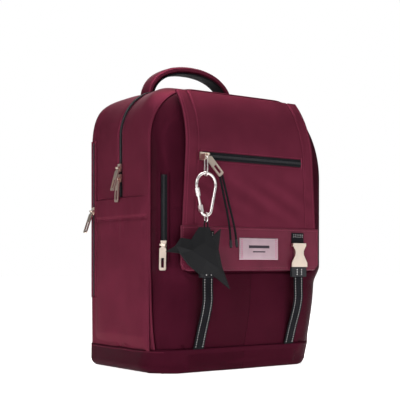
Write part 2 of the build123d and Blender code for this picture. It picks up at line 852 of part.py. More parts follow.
def carabiner_frame():
    """The bent wire with its gap, and a fork that holds the gate's pin."""
    crown = top_centre + Vector(0, 0, carabiner_top_radius)
    sole = low_centre - Vector(0, 0, carabiner_bottom_radius)
    path = ThreePointArc(left_high, crown, right_high) + Line(right_high, right_low)
    path += ThreePointArc(right_low, sole, left_low)
    start = Plane(origin=left_high, z_dir=gate_way)
    frame = sweep(start * Circle(carabiner_wire / 2), path=path)
    fork_width = gate_radius * 2 + 2 * fork_gap + 2 * fork_plate
    fork_top = gate_pin_at - gate_way * (fork_length - gate_pin_rise)
    fork_foot = left_low + gate_way * (carabiner_wire / 2)
    fork = flat_bar(fork_top, fork_foot, fork_width, carabiner_wire, across=(0, 1, 0))
    slot_foot = left_low - gate_way * 0.2
    slot_top = fork_top - gate_way * 5
    fork -= flat_bar(slot_top, slot_foot, gate_radius * 2 + 2 * fork_gap, far, across=(0, 1, 0))
    return frame + fork


def gate_bar():
    """The gate: a straight bar from the nose to its hinge pin."""
    top = left_high + gate_way * gate_clearance
    foot = gate_pin_at + gate_way * (gate_radius + 0.5)
    bar = rod(top, foot, gate_radius)
    hole = Plane(origin=gate_pin_at, z_dir=(0, 1, 0)) * Cylinder(gate_pin_radius + hinge_running, far)
    return bar - hole


carabiner_body = carabiner_frame()
pin_length = gate_radius * 2 + 2 * fork_gap + 2 * fork_plate
gate_pin = Plane(origin=gate_pin_at, z_dir=(0, 1, 0)) * Cylinder(gate_pin_radius, pin_length)
carabiner_body = carabiner_body - gate_pin
carabiner_gate = gate_bar()
lock_start = left_high + gate_way * (gate_clearance + 1.2)
sleeve_foot = lock_start + gate_way * sleeve_length
gate_sleeve = rod(lock_start, sleeve_foot, sleeve_radius)
gate_sleeve = gate_sleeve - rod(
    left_high - gate_way * 5, sleeve_foot + gate_way * 5, gate_radius + sleeve_running
)

# Charm ring and charm
charm_ring_top_z = low_centre.Z - carabiner_bottom_radius + link_reach
charm_ring = upright_ring(charm_ring_top_z, charm_ring_height)
eyelet_z = charm_ring_top_z - (charm_ring_height - ring_wire)
bird_points = [
    (-72, -44), (-56, -36), (-46, -24), (-28, -26), (-14, -8), (-4, -8), (4, -8),
    (8, -22), (24, -10), (20, -40), (26, -64), (41, -98), (8, -76), (-14, -76), (-34, -62), (-48, -46),
]


def bird():
    """A plain faceted bird with an eyelet above its back."""
    outline = make_face(Polyline(*[(x, z) for x, z in bird_points], close=True))
    core_y = charm_back_y
    body = Pos(hang_x, core_y, eyelet_z) * extrude(Plane.XZ * outline, amount=charm_thickness)
    tab_front = hang_y - charm_eyelet_thickness / 2
    tab = slab(
        (hang_x - charm_eyelet_radius, tab_front, eyelet_z - 12),
        (hang_x + charm_eyelet_radius, tab_front + charm_eyelet_thickness, eyelet_z),
    )
    round_top = Pos(hang_x, hang_y, eyelet_z) * Cylinder(
        charm_eyelet_radius, charm_eyelet_thickness, rotation=(90, 0, 0)
    )
    hole = Pos(hang_x, hang_y, eyelet_z) * Cylinder(
        ring_wire / 2 + link_clearance / 2, far, rotation=(90, 0, 0)
    )
    return body + (tab + round_top - hole)


bird_charm = bird()

# ---------------------------------------------------------------------------
# Cords on the flap pull, by hand-placed points from the pull's end to the free end
# ---------------------------------------------------------------------------
cord_y = -143.8
pull_end = flap_pull_plane.origin - flap_pull_plane.y_dir * pull_length
inner_cord_steps = [(-3.2, -2.2), (0.5, -17.1), (6.5, -41.1), (12.7, -65.1), (16.3, -87.1), (17.1, -107.1)]
outer_cord_steps = [(0.8, 0.0), (5.7, -14.6), (12.5, -39.1), (20.3, -63.6), (25.9, -85.6), (28.7, -106.1)]
inner_cord_points = [(pull_end.X + x, cord_y, pull_end.Z + z) for x, z in inner_cord_steps]
outer_cord_points = [(pull_end.X + x, cord_y, pull_end.Z + z) for x, z in outer_cord_steps]


def cord_tube(points, name):
    """A round cord along straight runs joined by tangent arcs."""
    spots = [Vector(*point) for point in points]
    radii = []
    for before, at, after in zip(spots, spots[1:], spots[2:]):
        turn = (at - before).get_angle(after - at)
        shorter = min((at - before).length, (after - at).length)
        radii.append(0.45 * shorter / tan(radians(turn / 2)))
    print(name, "arc radii", [round(r, 1) for r in radii])
    path = FilletPolyline(*points, radius=radii)
    start = Plane(origin=spots[0], z_dir=(spots[1] - spots[0]).normalized())
    tube = sweep(start * Circle(cord_diameter / 2), path=path)
    section = 3.14159265 * cord_diameter**2 / 4
    print(name, "length", round(path.length, 1), "volume ratio", round(tube.volume / section / path.length, 4))
    return tube


inner_pull_cord = cord_tube(inner_cord_points, "inner_pull_cord")
outer_pull_cord = cord_tube(outer_cord_points, "outer_pull_cord")

# ---------------------------------------------------------------------------
# Every node, by name
# ---------------------------------------------------------------------------
nodes = {
    "main_front_shell": main_front_shell,
    "rear_shell": rear_shell,
    "front_compartment": front_compartment,
    "base_panel": base_panel,
    "base_board": base_board,
    "back_foam": back_foam,
    "laptop_divider": laptop_divider,
    "back_pad": back_pad,
    "trolley_sleeve": trolley_sleeve,
    "strap_yoke": yoke,
    "handle_grip": handle_grip,
    "handle_underside": handle_underside,
    "main_zip_tape": main_zip_tape,
    "main_zip_coil": main_zip_coil,
    "laptop_zip_tape": laptop_zip_tape,
    "laptop_zip_coil": laptop_zip_coil,
    "front_zip_tape": front_zip_tape,
    "front_zip_coil": front_zip_coil,
    "main_upper_slider": main_upper_slider,
    "main_upper_pull": main_upper_pull,
    "main_lower_slider": main_lower_slider,
    "main_lower_pull": main_lower_pull,
    "laptop_slider": laptop_slider,
    "laptop_pull": laptop_pull,
    "front_slider": front_slider,
    "front_pull": front_pull,
    "flap_panel": flap_panel,
    "leather_band": leather_band,
    "label_patch": label_patch,
    "flap_zip_tape": flap_zip_tape,
    "flap_zip_coil": flap_zip_coil,
    "flap_slider": flap_slider,
    "flap_pull": flap_pull,
    "inner_pull_cord": inner_pull_cord,
    "outer_pull_cord": outer_pull_cord,
    "hang_ring": hang_ring,
    "carabiner_body": carabiner_body,
    "carabiner_gate": carabiner_gate,
    "gate_pin": gate_pin,
    "gate_sleeve": gate_sleeve,
    "charm_ring": charm_ring,
    "bird_charm": bird_charm,
}
paired_nodes = {
    "side_pocket": right_side_pocket,
    "shoulder_strap": right_shoulder_strap,
    "strap_webbing": right_strap_webbing,
    "ladder_lock": right_ladder_lock,
    "corner_tab": right_corner_tab,
    "upper_web": right_upper_web,
    "buckle_cover": right_buckle_cover,
    "buckle_prong": right_buckle_prong,
    "lower_web": right_lower_web,
}
for name, shape in paired_nodes.items():
    nodes["right_" + name] = shape
    nodes["left_" + name] = mirrored(shape)

for name, shape in nodes.items():
    export_step(shape, f"parts/{name}.step")
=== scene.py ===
"""Travel backpack: the visible pieces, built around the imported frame."""

from math import pi, radians

import bmesh
import bpy
import numpy as np
from bpy.props import FloatProperty, FloatVectorProperty, PointerProperty
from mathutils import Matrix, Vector
from mathutils.geometry import delaunay_2d_cdt


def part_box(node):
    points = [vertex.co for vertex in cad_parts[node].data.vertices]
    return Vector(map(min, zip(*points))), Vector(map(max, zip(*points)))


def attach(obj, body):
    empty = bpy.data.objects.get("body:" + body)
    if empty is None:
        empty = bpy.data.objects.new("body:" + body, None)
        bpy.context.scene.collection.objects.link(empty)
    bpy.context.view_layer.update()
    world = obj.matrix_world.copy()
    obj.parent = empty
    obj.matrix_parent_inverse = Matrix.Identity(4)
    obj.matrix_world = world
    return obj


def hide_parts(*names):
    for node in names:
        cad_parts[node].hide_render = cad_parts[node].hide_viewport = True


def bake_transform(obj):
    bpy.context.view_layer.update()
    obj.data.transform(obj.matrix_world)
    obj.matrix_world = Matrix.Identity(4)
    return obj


bl_info = {
    "name": "Travel Backpack",
    "version": (1, 0, 0),
    "blender": (4, 5, 0),
    "location": "View3D > Sidebar > Backpack",
    "description": "Builds the visible pieces of a travel backpack around its frame",
    "category": "Object",
}

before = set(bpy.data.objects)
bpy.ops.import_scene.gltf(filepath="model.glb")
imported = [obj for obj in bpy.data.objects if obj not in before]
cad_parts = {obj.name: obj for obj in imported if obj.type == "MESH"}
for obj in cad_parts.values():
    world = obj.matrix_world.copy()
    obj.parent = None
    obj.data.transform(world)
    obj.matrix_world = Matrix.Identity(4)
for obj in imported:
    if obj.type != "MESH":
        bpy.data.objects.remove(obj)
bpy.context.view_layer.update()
MM = 0.001

# Places that come from the frame, in metres
REAR_LOW, REAR_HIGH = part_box("rear_shell")
FRONT_LOW, FRONT_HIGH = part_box("front_compartment")
POCKET_LOW, POCKET_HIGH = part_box("left_side_pocket")
FLAP_LOW, FLAP_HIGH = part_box("flap_panel")
BAND_LOW, BAND_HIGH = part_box("leather_band")
TAPE_LOW, TAPE_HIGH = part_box("main_zip_tape")
HALF_WIDTH = REAR_HIGH.x
BACK_Y = REAR_HIGH.y
SEAM_Y = FRONT_HIGH.y
FACE_Y = FRONT_LOW.y
BASE_Z = FRONT_LOW.z
CROWN_Z = TAPE_HIGH.z + 0.6 * MM
ZIP_Y = (TAPE_LOW.y + TAPE_HIGH.y) / 2
ZIP_HALF = (TAPE_HIGH.y - TAPE_LOW.y) / 2
HEM_Z = POCKET_HIGH.z

# Outline of the standing bag, as in the frame
HINGE_Y = SEAM_Y - 3.5 * MM
HINGE_Z = CROWN_Z - 10 * MM
SHOULDER_Z = CROWN_Z - 105 * MM
BELLY_Z = 150 * MM
BELLY_BACK = 18 * MM
REAR_TOP_DROP = 12 * MM
REAR_TOP_RADIUS = 32 * MM
FRONT_CORNER = 28 * MM
LOW_CORNER = 50 * MM
REAR_CORNER = 14 * MM
TOP_CORNER = 78 * MM
CROWN_Y = -10 * MM

# The fixed lattice of random numbers that every ripple reads
LATTICE = np.random.default_rng(11).random((32, 32, 32))


# ---------------------------------------------------------------------------
# Numbers and surfaces
# ---------------------------------------------------------------------------
def smooth(t):
    """A ramp from 0 to 1 with level ends: 3 t squared less 2 t cubed."""
    t = np.clip(t, 0, 1)
    return t * t * (3 - 2 * t)


def bump(distance, width):
    """A bell of height 1 and the given width: e to the minus (distance / width) squared."""
    return np.exp(-((distance / width) ** 2))


def roll_over(rim, width):
    """A quarter circle from 0 at a rim to 1 at the given distance inside it."""
    return np.sqrt(np.clip(1 - (1 - np.clip(rim / width, 0, 1)) ** 2, 0, 1))


def squarer(wave, power):
    """A sine or cosine raised to a power with its sign kept: a superellipse's coordinate."""
    return np.sign(wave) * np.abs(wave) ** power


def unit(vectors):
    """Rows of vectors, each divided by its length."""
    return vectors / np.linalg.norm(vectors, axis=1, keepdims=True)


def heading(path):
    """Unit directions along a path."""
    return unit(np.gradient(path, axis=0))


def ripple(points, scale):
    """Value noise from -1 to 1: a fixed lattice of random numbers, joined by smooth ramps."""
    q = np.asarray(points, float) / np.asarray(scale, float)
    low = np.floor(q).astype(int)
    part = q - low
    part = part * part * (3 - 2 * part)
    total = np.zeros(q.shape[:-1])
    for corner in range(8):
        step = np.array([corner & 1, corner >> 1 & 1, corner >> 2 & 1])
        share = np.where(step, part, 1 - part).prod(-1)
        at = (low + step) % 32
        total += share * LATTICE[at[..., 0], at[..., 1], at[..., 2]]
    return 2 * total - 1


def normals_of(grid):
    """Unit normals of a grid of points: the cross product of its two directions."""
    along_u = np.gradient(grid, axis=0)
    along_v = np.gradient(grid, axis=1)
    normal = np.cross(along_u, along_v)
    return normal / np.maximum(np.linalg.norm(normal, axis=-1, keepdims=True), 1e-12)


def grid_faces(nu, nv, wrap_u=False, wrap_v=False, start=0, flip=False):
    """Quads of a grid, joined round its ends where it wraps."""
    iu = np.arange(nu if wrap_u else nu - 1)
    iv = np.arange(nv if wrap_v else nv - 1)
    a, b = np.meshgrid(iu, iv, indexing="ij")
    c, d = (a + 1) % nu, (b + 1) % nv
    quads = np.stack([a * nv + b, c * nv + b, c * nv + d, a * nv + d], -1).reshape(-1, 4) + start
    return quads[:, ::-1] if flip else quads


def add_mesh(name, points, faces, uv=None, smooth_shade=True):
    """A mesh object at the origin from points, quads or triangles, and one UV per point."""
    mesh = bpy.data.meshes.new(name)
    if isinstance(faces, np.ndarray):
        faces = faces.tolist()
    mesh.from_pydata(np.asarray(points, float).reshape(-1, 3).tolist(), [], faces)
    mesh.polygons.foreach_set("use_smooth", [smooth_shade] * len(mesh.polygons))
    if uv is not None:
        layer = mesh.uv_layers.new(name="cloth")
        corner = np.zeros(len(mesh.loops), int)
        mesh.loops.foreach_get("vertex_index", corner)
        layer.data.foreach_set("uv", np.asarray(uv, float).reshape(-1, 2)[corner].ravel())
    mesh.update()
    obj = bpy.data.objects.new(name, mesh)
    bpy.context.scene.collection.objects.link(obj)
    return obj


def run_length(grid, axis):
    """Distance along a grid from its first point, in metres."""
    steps = np.linalg.norm(np.diff(grid, axis=axis), axis=-1)
    pad = [(1, 0), (0, 0)] if axis == 0 else [(0, 0), (1, 0)]
    return np.pad(np.cumsum(steps, axis=axis), pad)


def cloth_uv(grid):
    """One UV per point of a grid: the distances along its two directions, in metres."""
    return np.stack([run_length(grid, 0), run_length(grid, 1)], -1).reshape(-1, 2)


def add_grid(name, grid, wrap_u=False, wrap_v=False, flip=False):
    """A surface from a grid of points, with its cloth UV."""
    faces = grid_faces(grid.shape[0], grid.shape[1], wrap_u, wrap_v, flip=flip)
    return add_mesh(name, grid, faces, cloth_uv(grid))


def add_solid_grid(name, outer, inner, flip=False):
    """A closed sheet: an outer grid, an inner grid, and a rim that joins their edges."""
    nu, nv = outer.shape[:2]
    count = nu * nv
    front = grid_faces(nu, nv, flip=flip)
    back = grid_faces(nu, nv, start=count, flip=not flip)
    index = np.arange(count).reshape(nu, nv)
    edge = np.concatenate([index[:, 0], index[-1, 1:], index[-2::-1, -1], index[0, -2:0:-1]])
    after = np.roll(edge, -1)
    rim = np.stack([after, edge, edge + count, after + count], -1)
    rim = rim[:, ::-1] if flip else rim
    uv = cloth_uv(outer)
    points = np.concatenate([outer.reshape(-1, 3), inner.reshape(-1, 3)])
    return add_mesh(name, points, np.concatenate([front, back, rim]), np.concatenate([uv, uv]))


def add_capped(name, grid):
    """A tube from a grid whose second direction goes round, closed by a face at each end."""
    nu, nv = grid.shape[:2]
    faces = grid_faces(nu, nv, wrap_v=True).tolist()
    ends = [list(range(nv))[::-1], [(nu - 1) * nv + i for i in range(nv)]]
    return add_mesh(name, grid, faces + ends, cloth_uv(grid))


def add_wall(obj, thickness):
    """A live wall behind a sheet."""
    wall = obj.modifiers.new("wall", "SOLIDIFY")
    wall.thickness, wall.offset = thickness, -1
    return obj


def frames_along(path, closed=False, up=(0, 0, 1)):
    """Directions across a path: its side and its face, from one fixed up direction."""
    ahead = np.roll(path, -1, 0) - np.roll(path, 1, 0)
    if not closed:
        ahead[0] = path[1] - path[0]
        ahead[-1] = path[-1] - path[-2]
    ahead = unit(ahead)
    side = np.cross(ahead, np.asarray(up, float))
    side /= np.maximum(np.linalg.norm(side, axis=1, keepdims=True), 1e-9)
    return side, np.cross(side, ahead)


def add_tube(name, path, outline, closed=False, up=(0, 0, 1)):
    """A closed outline, as (side, face) pairs, carried along a path of points."""
    path = np.asarray(path, float)
    outline = np.asarray(outline, float)
    side, face = frames_along(path, closed, up)
    grid = path[:, None] + outline[None, :, :1] * side[:, None] + outline[None, :, 1:] * face[:, None]
    if closed:
        return add_grid(name, grid, wrap_u=True, wrap_v=True)
    return add_capped(name, grid)


def round_outline(radius, count=10):
    """A circle of points."""
    angle = np.linspace(0, 2 * pi, count, endpoint=False)
    return np.stack([radius * np.cos(angle), radius * np.sin(angle)], -1)


def flat_outline(width, thickness, corner_points=3):
    """A flat band with rounded edges: two half circles joined by straight sides."""
    radius = thickness / 2
    angle = np.linspace(-pi / 2, pi / 2, corner_points + 2)
    right = np.stack([width / 2 - radius + radius * np.cos(angle), radius * np.sin(angle)], -1)
    left = -right
    middle = np.linspace(0.8, -0.8, 5)[:, None] * np.array([[width / 2 - radius, 0]])
    top = middle + [0, radius]
    return np.concatenate([right, top, left, -top])


def resample(path, pitch):
    """Points at an even pitch along a path."""
    path = np.asarray(path, float)
    reach = np.concatenate([[0], np.cumsum(np.linalg.norm(np.diff(path, axis=0), axis=1))])
    count = max(int(reach[-1] / pitch), 2)
    at = np.linspace(0, reach[-1], count)
    return np.stack([np.interp(at, reach, path[:, i]) for i in range(3)], -1)


def spread(vectors, share):
    """One vector, or a row of them, read at the given shares of its length."""
    vectors = np.asarray(vectors, float)
    if vectors.ndim == 1:
        return np.broadcast_to(vectors, (len(share), 3))
    given = np.linspace(0, 1, len(vectors))
    return np.stack([np.interp(share, given, vectors[:, i]) for i in range(3)], -1)


def add_repeats(name, centres, ahead, out, size):
    """Many small rounded bars, each a low six-sided lozenge along its own direction."""
    side = np.cross(ahead, out)
    length, width, height = size
    ring = np.array([[-0.5, 0.3], [-0.3, 0.5], [0.3, 0.5], [0.5, 0.3]])
    shape = []
    for along in (-0.5, -0.3, 0.3, 0.5):
        scale = 0.55 if abs(along) == 0.5 else 1.0
        for across, up in ((-0.5, 0), (-0.3, 0.75), (0.3, 0.75), (0.5, 0)):
            shape.append((along * length, across * width * scale, up * height * scale))
    shape = np.array(shape)
    points = (
        centres[:, None]
        + shape[None, :, :1] * ahead[:, None]
        + shape[None, :, 1:2] * side[:, None]
        + shape[None, :, 2:] * out[:, None]
    )
    one = grid_faces(4, 4, wrap_v=True)
    caps = np.array([[0, 1, 2, 3], [15, 14, 13, 12]])
    one = np.concatenate([one, caps])
    faces = (one[None] + 16 * np.arange(len(centres))[:, None, None]).reshape(-1, 4)
    return add_mesh(name, points, faces)


def add_stitches(name, path, out, pitch=3.0 * MM, length=1.9 * MM, width=0.7 * MM):
    """A row of thread stitches along a path, standing out along the given direction."""
    at = resample(path, pitch)
    ahead = heading(at)
    out = np.broadcast_to(np.asarray(out, float), at.shape)
    out = unit(out - (out * ahead).sum(1, keepdims=True) * ahead)
    return add_repeats(name, at, ahead, out, (length, width, width * 0.7))


def finish_piece(obj, body, material, nodes=()):
    """Gives a piece its material, body, and the CAD nodes that it stands for."""
    obj.data.materials.clear()
    obj.data.materials.append(material)
    if body:
        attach(obj, body)
    if nodes:
        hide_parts(*nodes)
    return obj


def sew(name, path, out, body, slot, thread="thread", pitch=None, *size):
    """A finished row of stitches; size is a stitch's length and width where they aren't the usual ones."""
    obj = add_stitches(name, path, out, pitch or sizes().stitch_pitch, *size)
    return finish_piece(obj, body, finish_of(thread))


def finish_cloth(obj, kind, nodes=(), thickness=1.6 * MM, finish=None):
    """Gives a sheet of the body its wall and its nylon."""
    return finish_piece(add_wall(obj, thickness), "bag", finish_of(finish or kind), nodes)


# ---------------------------------------------------------------------------
# Materials
# ---------------------------------------------------------------------------
def new_material(name, colour, roughness, metallic=0.0, sheen=0.0, specular=0.5):
    """A principled material and its node tree."""
    material = bpy.data.materials.new(name)
    material.use_nodes = True
    shader = material.node_tree.nodes["Principled BSDF"]
    shader.inputs["Base Color"].default_value = (*colour, 1)
    shader.inputs["Roughness"].default_value = roughness
    shader.inputs["Metallic"].default_value = metallic
    shader.inputs["Sheen Weight"].default_value = sheen
    shader.inputs["Sheen Roughness"].default_value = 0.45
    shader.inputs["Sheen Tint"].default_value = (*[min(1, c * 3 + 0.04) for c in colour], 1)
    shader.inputs["Specular IOR Level"].default_value = specular
    return material, material.node_tree, shader


def noise_node(tree, coord, scale, detail=3.0):
    """A noise texture on the given coordinates."""
    node = tree.nodes.new("ShaderNodeTexNoise")
    node.inputs["Scale"].default_value = scale
    node.inputs["Detail"].default_value = detail
    tree.links.new(coord, node.inputs["Vector"])
    return node.outputs["Fac"]


def wave_node(tree, coord, scale, direction, distortion=0.0):
    """Straight bands on the given coordinates."""
    node = tree.nodes.new("ShaderNodeTexWave")
    node.bands_direction = direction
    node.inputs["Scale"].default_value = scale
    node.inputs["Distortion"].default_value = distortion
    tree.links.new(coord, node.inputs["Vector"])
    return node.outputs["Fac"]


def blend_colour(tree, factor, dark, light, low=0.3, high=0.7):
    """A ramp between two colours."""
    ramp = tree.nodes.new("ShaderNodeValToRGB")
    ramp.color_ramp.elements[0].position = low
    ramp.color_ramp.elements[1].position = high
    ramp.color_ramp.elements[0].color = (*dark, 1)
    ramp.color_ramp.elements[1].color = (*light, 1)
    tree.links.new(factor, ramp.inputs["Fac"])
    return ramp.outputs["Color"]


def bump_chain(tree, shader, layers):
    """Bump nodes one after another: each layer is a height, a strength and a depth in metres."""
    last = None
    for height, strength, depth in layers:
        node = tree.nodes.new("ShaderNodeBump")
        node.inputs["Strength"].default_value = strength
        node.inputs["Distance"].default_value = depth
        tree.links.new(height, node.inputs["Height"])
        if last is not None:
            tree.links.new(last, node.inputs["Normal"])
        last = node.outputs["Normal"]
    tree.links.new(last, shader.inputs["Normal"])


def rough_range(tree, shader, factor, low, high):
    """Roughness that wanders between two values."""
    node = tree.nodes.new("ShaderNodeMapRange")
    node.inputs["To Min"].default_value = low
    node.inputs["To Max"].default_value = high
    tree.links.new(factor, node.inputs["Value"])
    tree.links.new(node.outputs["Result"], shader.inputs["Roughness"])


def woven(name, colour, roughness, sheen, pitch=0.6 * MM, relief=0.12 * MM, vary=0.12,
          direction="DIAGONAL", gloss=0.0):
    """Cloth: fine bands across the piece's own UV, with slow shifts in colour and gloss."""
    material, tree, shader = new_material(name, colour, roughness, gloss, sheen=sheen, specular=0.03)
    coords = tree.nodes.new("ShaderNodeTexCoord")
    shader.inputs["Specular Tint"].default_value = (*[min(1, 0.06 + c * 2.2) for c in colour], 1)
    warp = wave_node(tree, coords.outputs["UV"], 0.31 / pitch, direction)
    weft = wave_node(tree, coords.outputs["UV"], 0.155 / pitch, "X")
    slow = noise_node(tree, coords.outputs["Object"], 22.0, 4.0)
    crease = noise_node(tree, coords.outputs["Object"], 70.0, 5.0)
    dark = [c * (1 - vary) for c in colour]
    light = [min(1, c * (1 + vary)) for c in colour]
    tree.links.new(blend_colour(tree, slow, dark, light), shader.inputs["Base Color"])
    rough_range(tree, shader, slow, roughness - 0.05, roughness + 0.07)
    bump_chain(tree, shader, [(crease, 0.25, 0.6 * MM), (weft, 0.25, relief), (warp, 0.5, relief)])
    return material


def metal(name, colour, roughness=0.22):
    """Plated metal with small scuffs and a slow shift in tone."""
    material, tree, shader = new_material(name, colour, roughness, metallic=1.0)
    coords = tree.nodes.new("ShaderNodeTexCoord")
    scuff = noise_node(tree, coords.outputs["Object"], 380.0, 6.0)
    slow = noise_node(tree, coords.outputs["Object"], 60.0, 2.0)
    rough_range(tree, shader, scuff, roughness - 0.06, roughness + 0.12)
    dark = [c * 0.9 for c in colour]
    tree.links.new(blend_colour(tree, slow, dark, colour), shader.inputs["Base Color"])
    bump_chain(tree, shader, [(scuff, 0.08, 0.05 * MM)])
    return material


def leather(name, colour, roughness=0.42, grain=900.0, depth=0.12 * MM):
    """Grained leather: small cells, fine pores and slow colour drift."""
    material, tree, shader = new_material(name, colour, roughness, sheen=0.0, specular=0.14)
    coords = tree.nodes.new("ShaderNodeTexCoord")
    cells = tree.nodes.new("ShaderNodeTexVoronoi")
    cells.inputs["Scale"].default_value = grain
    tree.links.new(coords.outputs["Object"], cells.inputs["Vector"])
    pores = noise_node(tree, coords.outputs["Object"], grain * 0.6, 4.0)
    slow = noise_node(tree, coords.outputs["Object"], 25.0, 4.0)
    dark = [c * 0.82 for c in colour]
    light = [min(1, c * 1.15) for c in colour]
    tree.links.new(blend_colour(tree, slow, dark, light), shader.inputs["Base Color"])
    rough_range(tree, shader, pores, roughness - 0.08, roughness + 0.12)
    bump_chain(tree, shader, [(cells.outputs["Distance"], 0.35, depth), (pores, 0.3, depth)])
    return material


def plastic(name, colour, roughness=0.4):
    """Moulded plastic with a fine spark-eroded texture."""
    material, tree, shader = new_material(name, colour, roughness, specular=0.25)
    coords = tree.nodes.new("ShaderNodeTexCoord")
    fine = noise_node(tree, coords.outputs["Object"], 1500.0, 3.0)
    slow = noise_node(tree, coords.outputs["Object"], 90.0, 3.0)
    rough_range(tree, shader, slow, roughness - 0.08, roughness + 0.1)
    bump_chain(tree, shader, [(fine, 0.2, 0.05 * MM)])
    return material


def air_mesh(name, colour):
    """Spacer mesh: rows of small dark holes in a padded knit."""
    material, tree, shader = new_material(name, colour, 0.8, sheen=0.08, specular=0.15)
    coords = tree.nodes.new("ShaderNodeTexCoord")
    cells = tree.nodes.new("ShaderNodeTexVoronoi")
    cells.inputs["Scale"].default_value = 420.0
    cells.inputs["Randomness"].default_value = 0.25
    tree.links.new(coords.outputs["Object"], cells.inputs["Vector"])
    hole = [c * 0.25 for c in colour]
    light = [min(1, c * 1.6) for c in colour]
    tree.links.new(blend_colour(tree, cells.outputs["Distance"], hole, light, 0.1, 0.5), shader.inputs["Base Color"])
    bump_chain(tree, shader, [(cells.outputs["Distance"], 0.8, 0.5 * MM)])
    return material


def colour_of(name, description, default):
    """A colour that a user may change."""
    return FloatVectorProperty(
        name=name, description=description, subtype="COLOR", size=3, min=0, max=1, default=default)


def length_of(name, description, default, low, high):
    """A length that a user may change, given in millimetres."""
    return FloatProperty(
        name=name, description=description, unit="LENGTH", default=default * MM, min=low * MM, max=high * MM)


class BackpackColours(bpy.types.PropertyGroup):
    """Colours of the bag's cloth, leather and metal"""

    # Upper and lower nylon are one fabric: upper is its lit tone, and lower is a darker copy of it, painted shade on
    # the front compartment and base.
    upper: colour_of("Upper nylon", "Cloth of the flap, crown, sides and pockets", (0.118, 0.018, 0.036))
    lower: colour_of("Lower nylon", "Cloth of the front compartment and base", (0.042, 0.005, 0.0125))
    band: colour_of("Leather band", "Leatherette along the flap's lower edge", (0.115, 0.014, 0.032))
    black: colour_of("Black trim", "Webbing, zip tape and cords", (0.012, 0.012, 0.014))
    champagne: colour_of("Champagne metal", "Zip sliders, pulls and buckle covers", (0.84, 0.71, 0.60))
    steel: colour_of("Bright steel", "Carabiner and rings", (0.80, 0.75, 0.73))
    label: colour_of("Label", "Metallic patch on the leather band", (0.55, 0.40, 0.45))


class BackpackSizes(bpy.types.PropertyGroup):
    """Sizes of the cloth's soft shape"""

    wrinkle: length_of("Wrinkle height", "How far the slow folds of the cloth stand out", 1.3, 0, 5)
    puff: length_of("Seam pinch", "How far the cloth dips at a sewn seam", 1.8, 0, 5)
    pocket_hem: length_of("Pocket hem", "Height of the folded hem on the side pockets", 33, 5, 60)
    tooth_pitch: length_of("Zip tooth pitch", "Distance from one zip tooth to the next", 1.6, 0.8, 4)
    stitch_pitch: length_of("Stitch pitch", "Distance from one stitch to the next", 3.2, 1.5, 8)


def colours():
    """The scene's colours for the bag."""
    return bpy.context.scene.backpack_colours


def sizes():
    """The scene's sizes for the bag's cloth."""
    return bpy.context.scene.backpack_sizes


MADE = {}


def finish_of(kind):
    """One shared material of each kind, made on first use and kept in MADE."""
    tint = colours()
    charcoal = [0.05, 0.05, 0.05]
    makers = {
        # upper is the nylon's lit tone; lower and base are darker copies of the same nylon, painted shade.
        "upper": lambda: woven("upper_nylon_twill", tint.upper, 0.38, 0.0, gloss=0.45),
        "lower": lambda: woven("lower_nylon_painted_shade", tint.lower, 0.40, 0.0, gloss=0.45),
        "base": lambda: woven("base_nylon_painted_shade", [c * 1.1 for c in tint.lower], 0.42, 0.0, gloss=0.4),
        "band": lambda: leather("band_leatherette", tint.band, 0.36),
        "charm": lambda: leather("charm_leather", [0.007, 0.007, 0.008], 0.6, 700.0, 0.2 * MM),
        "tape": lambda: woven("zip_tape_weave", tint.black, 0.75, 0.03, 0.5 * MM, 0.1 * MM, 0.2, "Y"),
        "webbing": lambda: woven("ribbed_webbing", tint.black, 0.6, 0.04, 1.5 * MM, 0.35 * MM, 0.25, "X"),
        "cord": lambda: woven("braided_cord", tint.black, 0.7, 0.05, 1.0 * MM, 0.3 * MM, 0.2),
        "coil": lambda: plastic("zip_coil_nylon", [c * 1.6 for c in tint.black], 0.38),
        "plastic": lambda: plastic("black_acetal", [c * 1.3 for c in tint.black], 0.36),
        "thread": lambda: woven("upper_thread", [min(1, c * 1.9) for c in tint.upper], 0.6, 0.2),
        "silver_thread": lambda: woven("reflective_thread", [0.62, 0.60, 0.60], 0.4, 0.2),
        "pink_thread": lambda: woven("label_thread", [0.55, 0.20, 0.30], 0.5, 0.2),
        "champagne": lambda: metal("champagne_plate", tint.champagne, 0.32),
        "steel": lambda: metal("plated_steel", tint.steel, 0.26),
        "label": lambda: metal("label_patch_foil", tint.label, 0.34),
        "ink": lambda: plastic("label_print", [0.03, 0.02, 0.03], 0.5),
        "mesh": lambda: air_mesh("spacer_mesh", [0.018, 0.017, 0.019]),
        "lining": lambda: woven("plain_lining", [0.05, 0.04, 0.045], 0.7, 0.1, 0.4 * MM),
        "foam": lambda: plastic("closed_cell_foam", charcoal, 0.9),
    }
    if kind not in MADE:
        MADE[kind] = makers[kind]()
    return MADE[kind]


# ---------------------------------------------------------------------------
# The standing form of the bag
# ---------------------------------------------------------------------------
def crown_height(y):
    """Top of the side profile: shoulder arc, then a slow arch, then the rounded rear edge."""
    y = np.asarray(y, float)
    front = HINGE_Z - SHOULDER_Z
    reach = HINGE_Y - FACE_Y
    radius = (front**2 + reach**2) / (2 * reach)
    ahead = np.clip(radius - (y - FACE_Y), 0, radius)
    shoulder = SHOULDER_Z + np.sqrt(np.maximum(radius**2 - ahead**2, 0))
    arch = CROWN_Z - (CROWN_Z - HINGE_Z) * ((y - CROWN_Y) / (HINGE_Y - CROWN_Y)) ** 2
    back = CROWN_Z - REAR_TOP_DROP * (np.clip(y - CROWN_Y, 0, None) / (BACK_Y - CROWN_Y)) ** 2
    past = np.clip(y - (BACK_Y - REAR_TOP_RADIUS), 0, REAR_TOP_RADIUS)
    back = back - (REAR_TOP_RADIUS - np.sqrt(REAR_TOP_RADIUS**2 - past**2))
    return np.where(y < HINGE_Y, np.minimum(shoulder, HINGE_Z), np.where(y < CROWN_Y, arch, back))


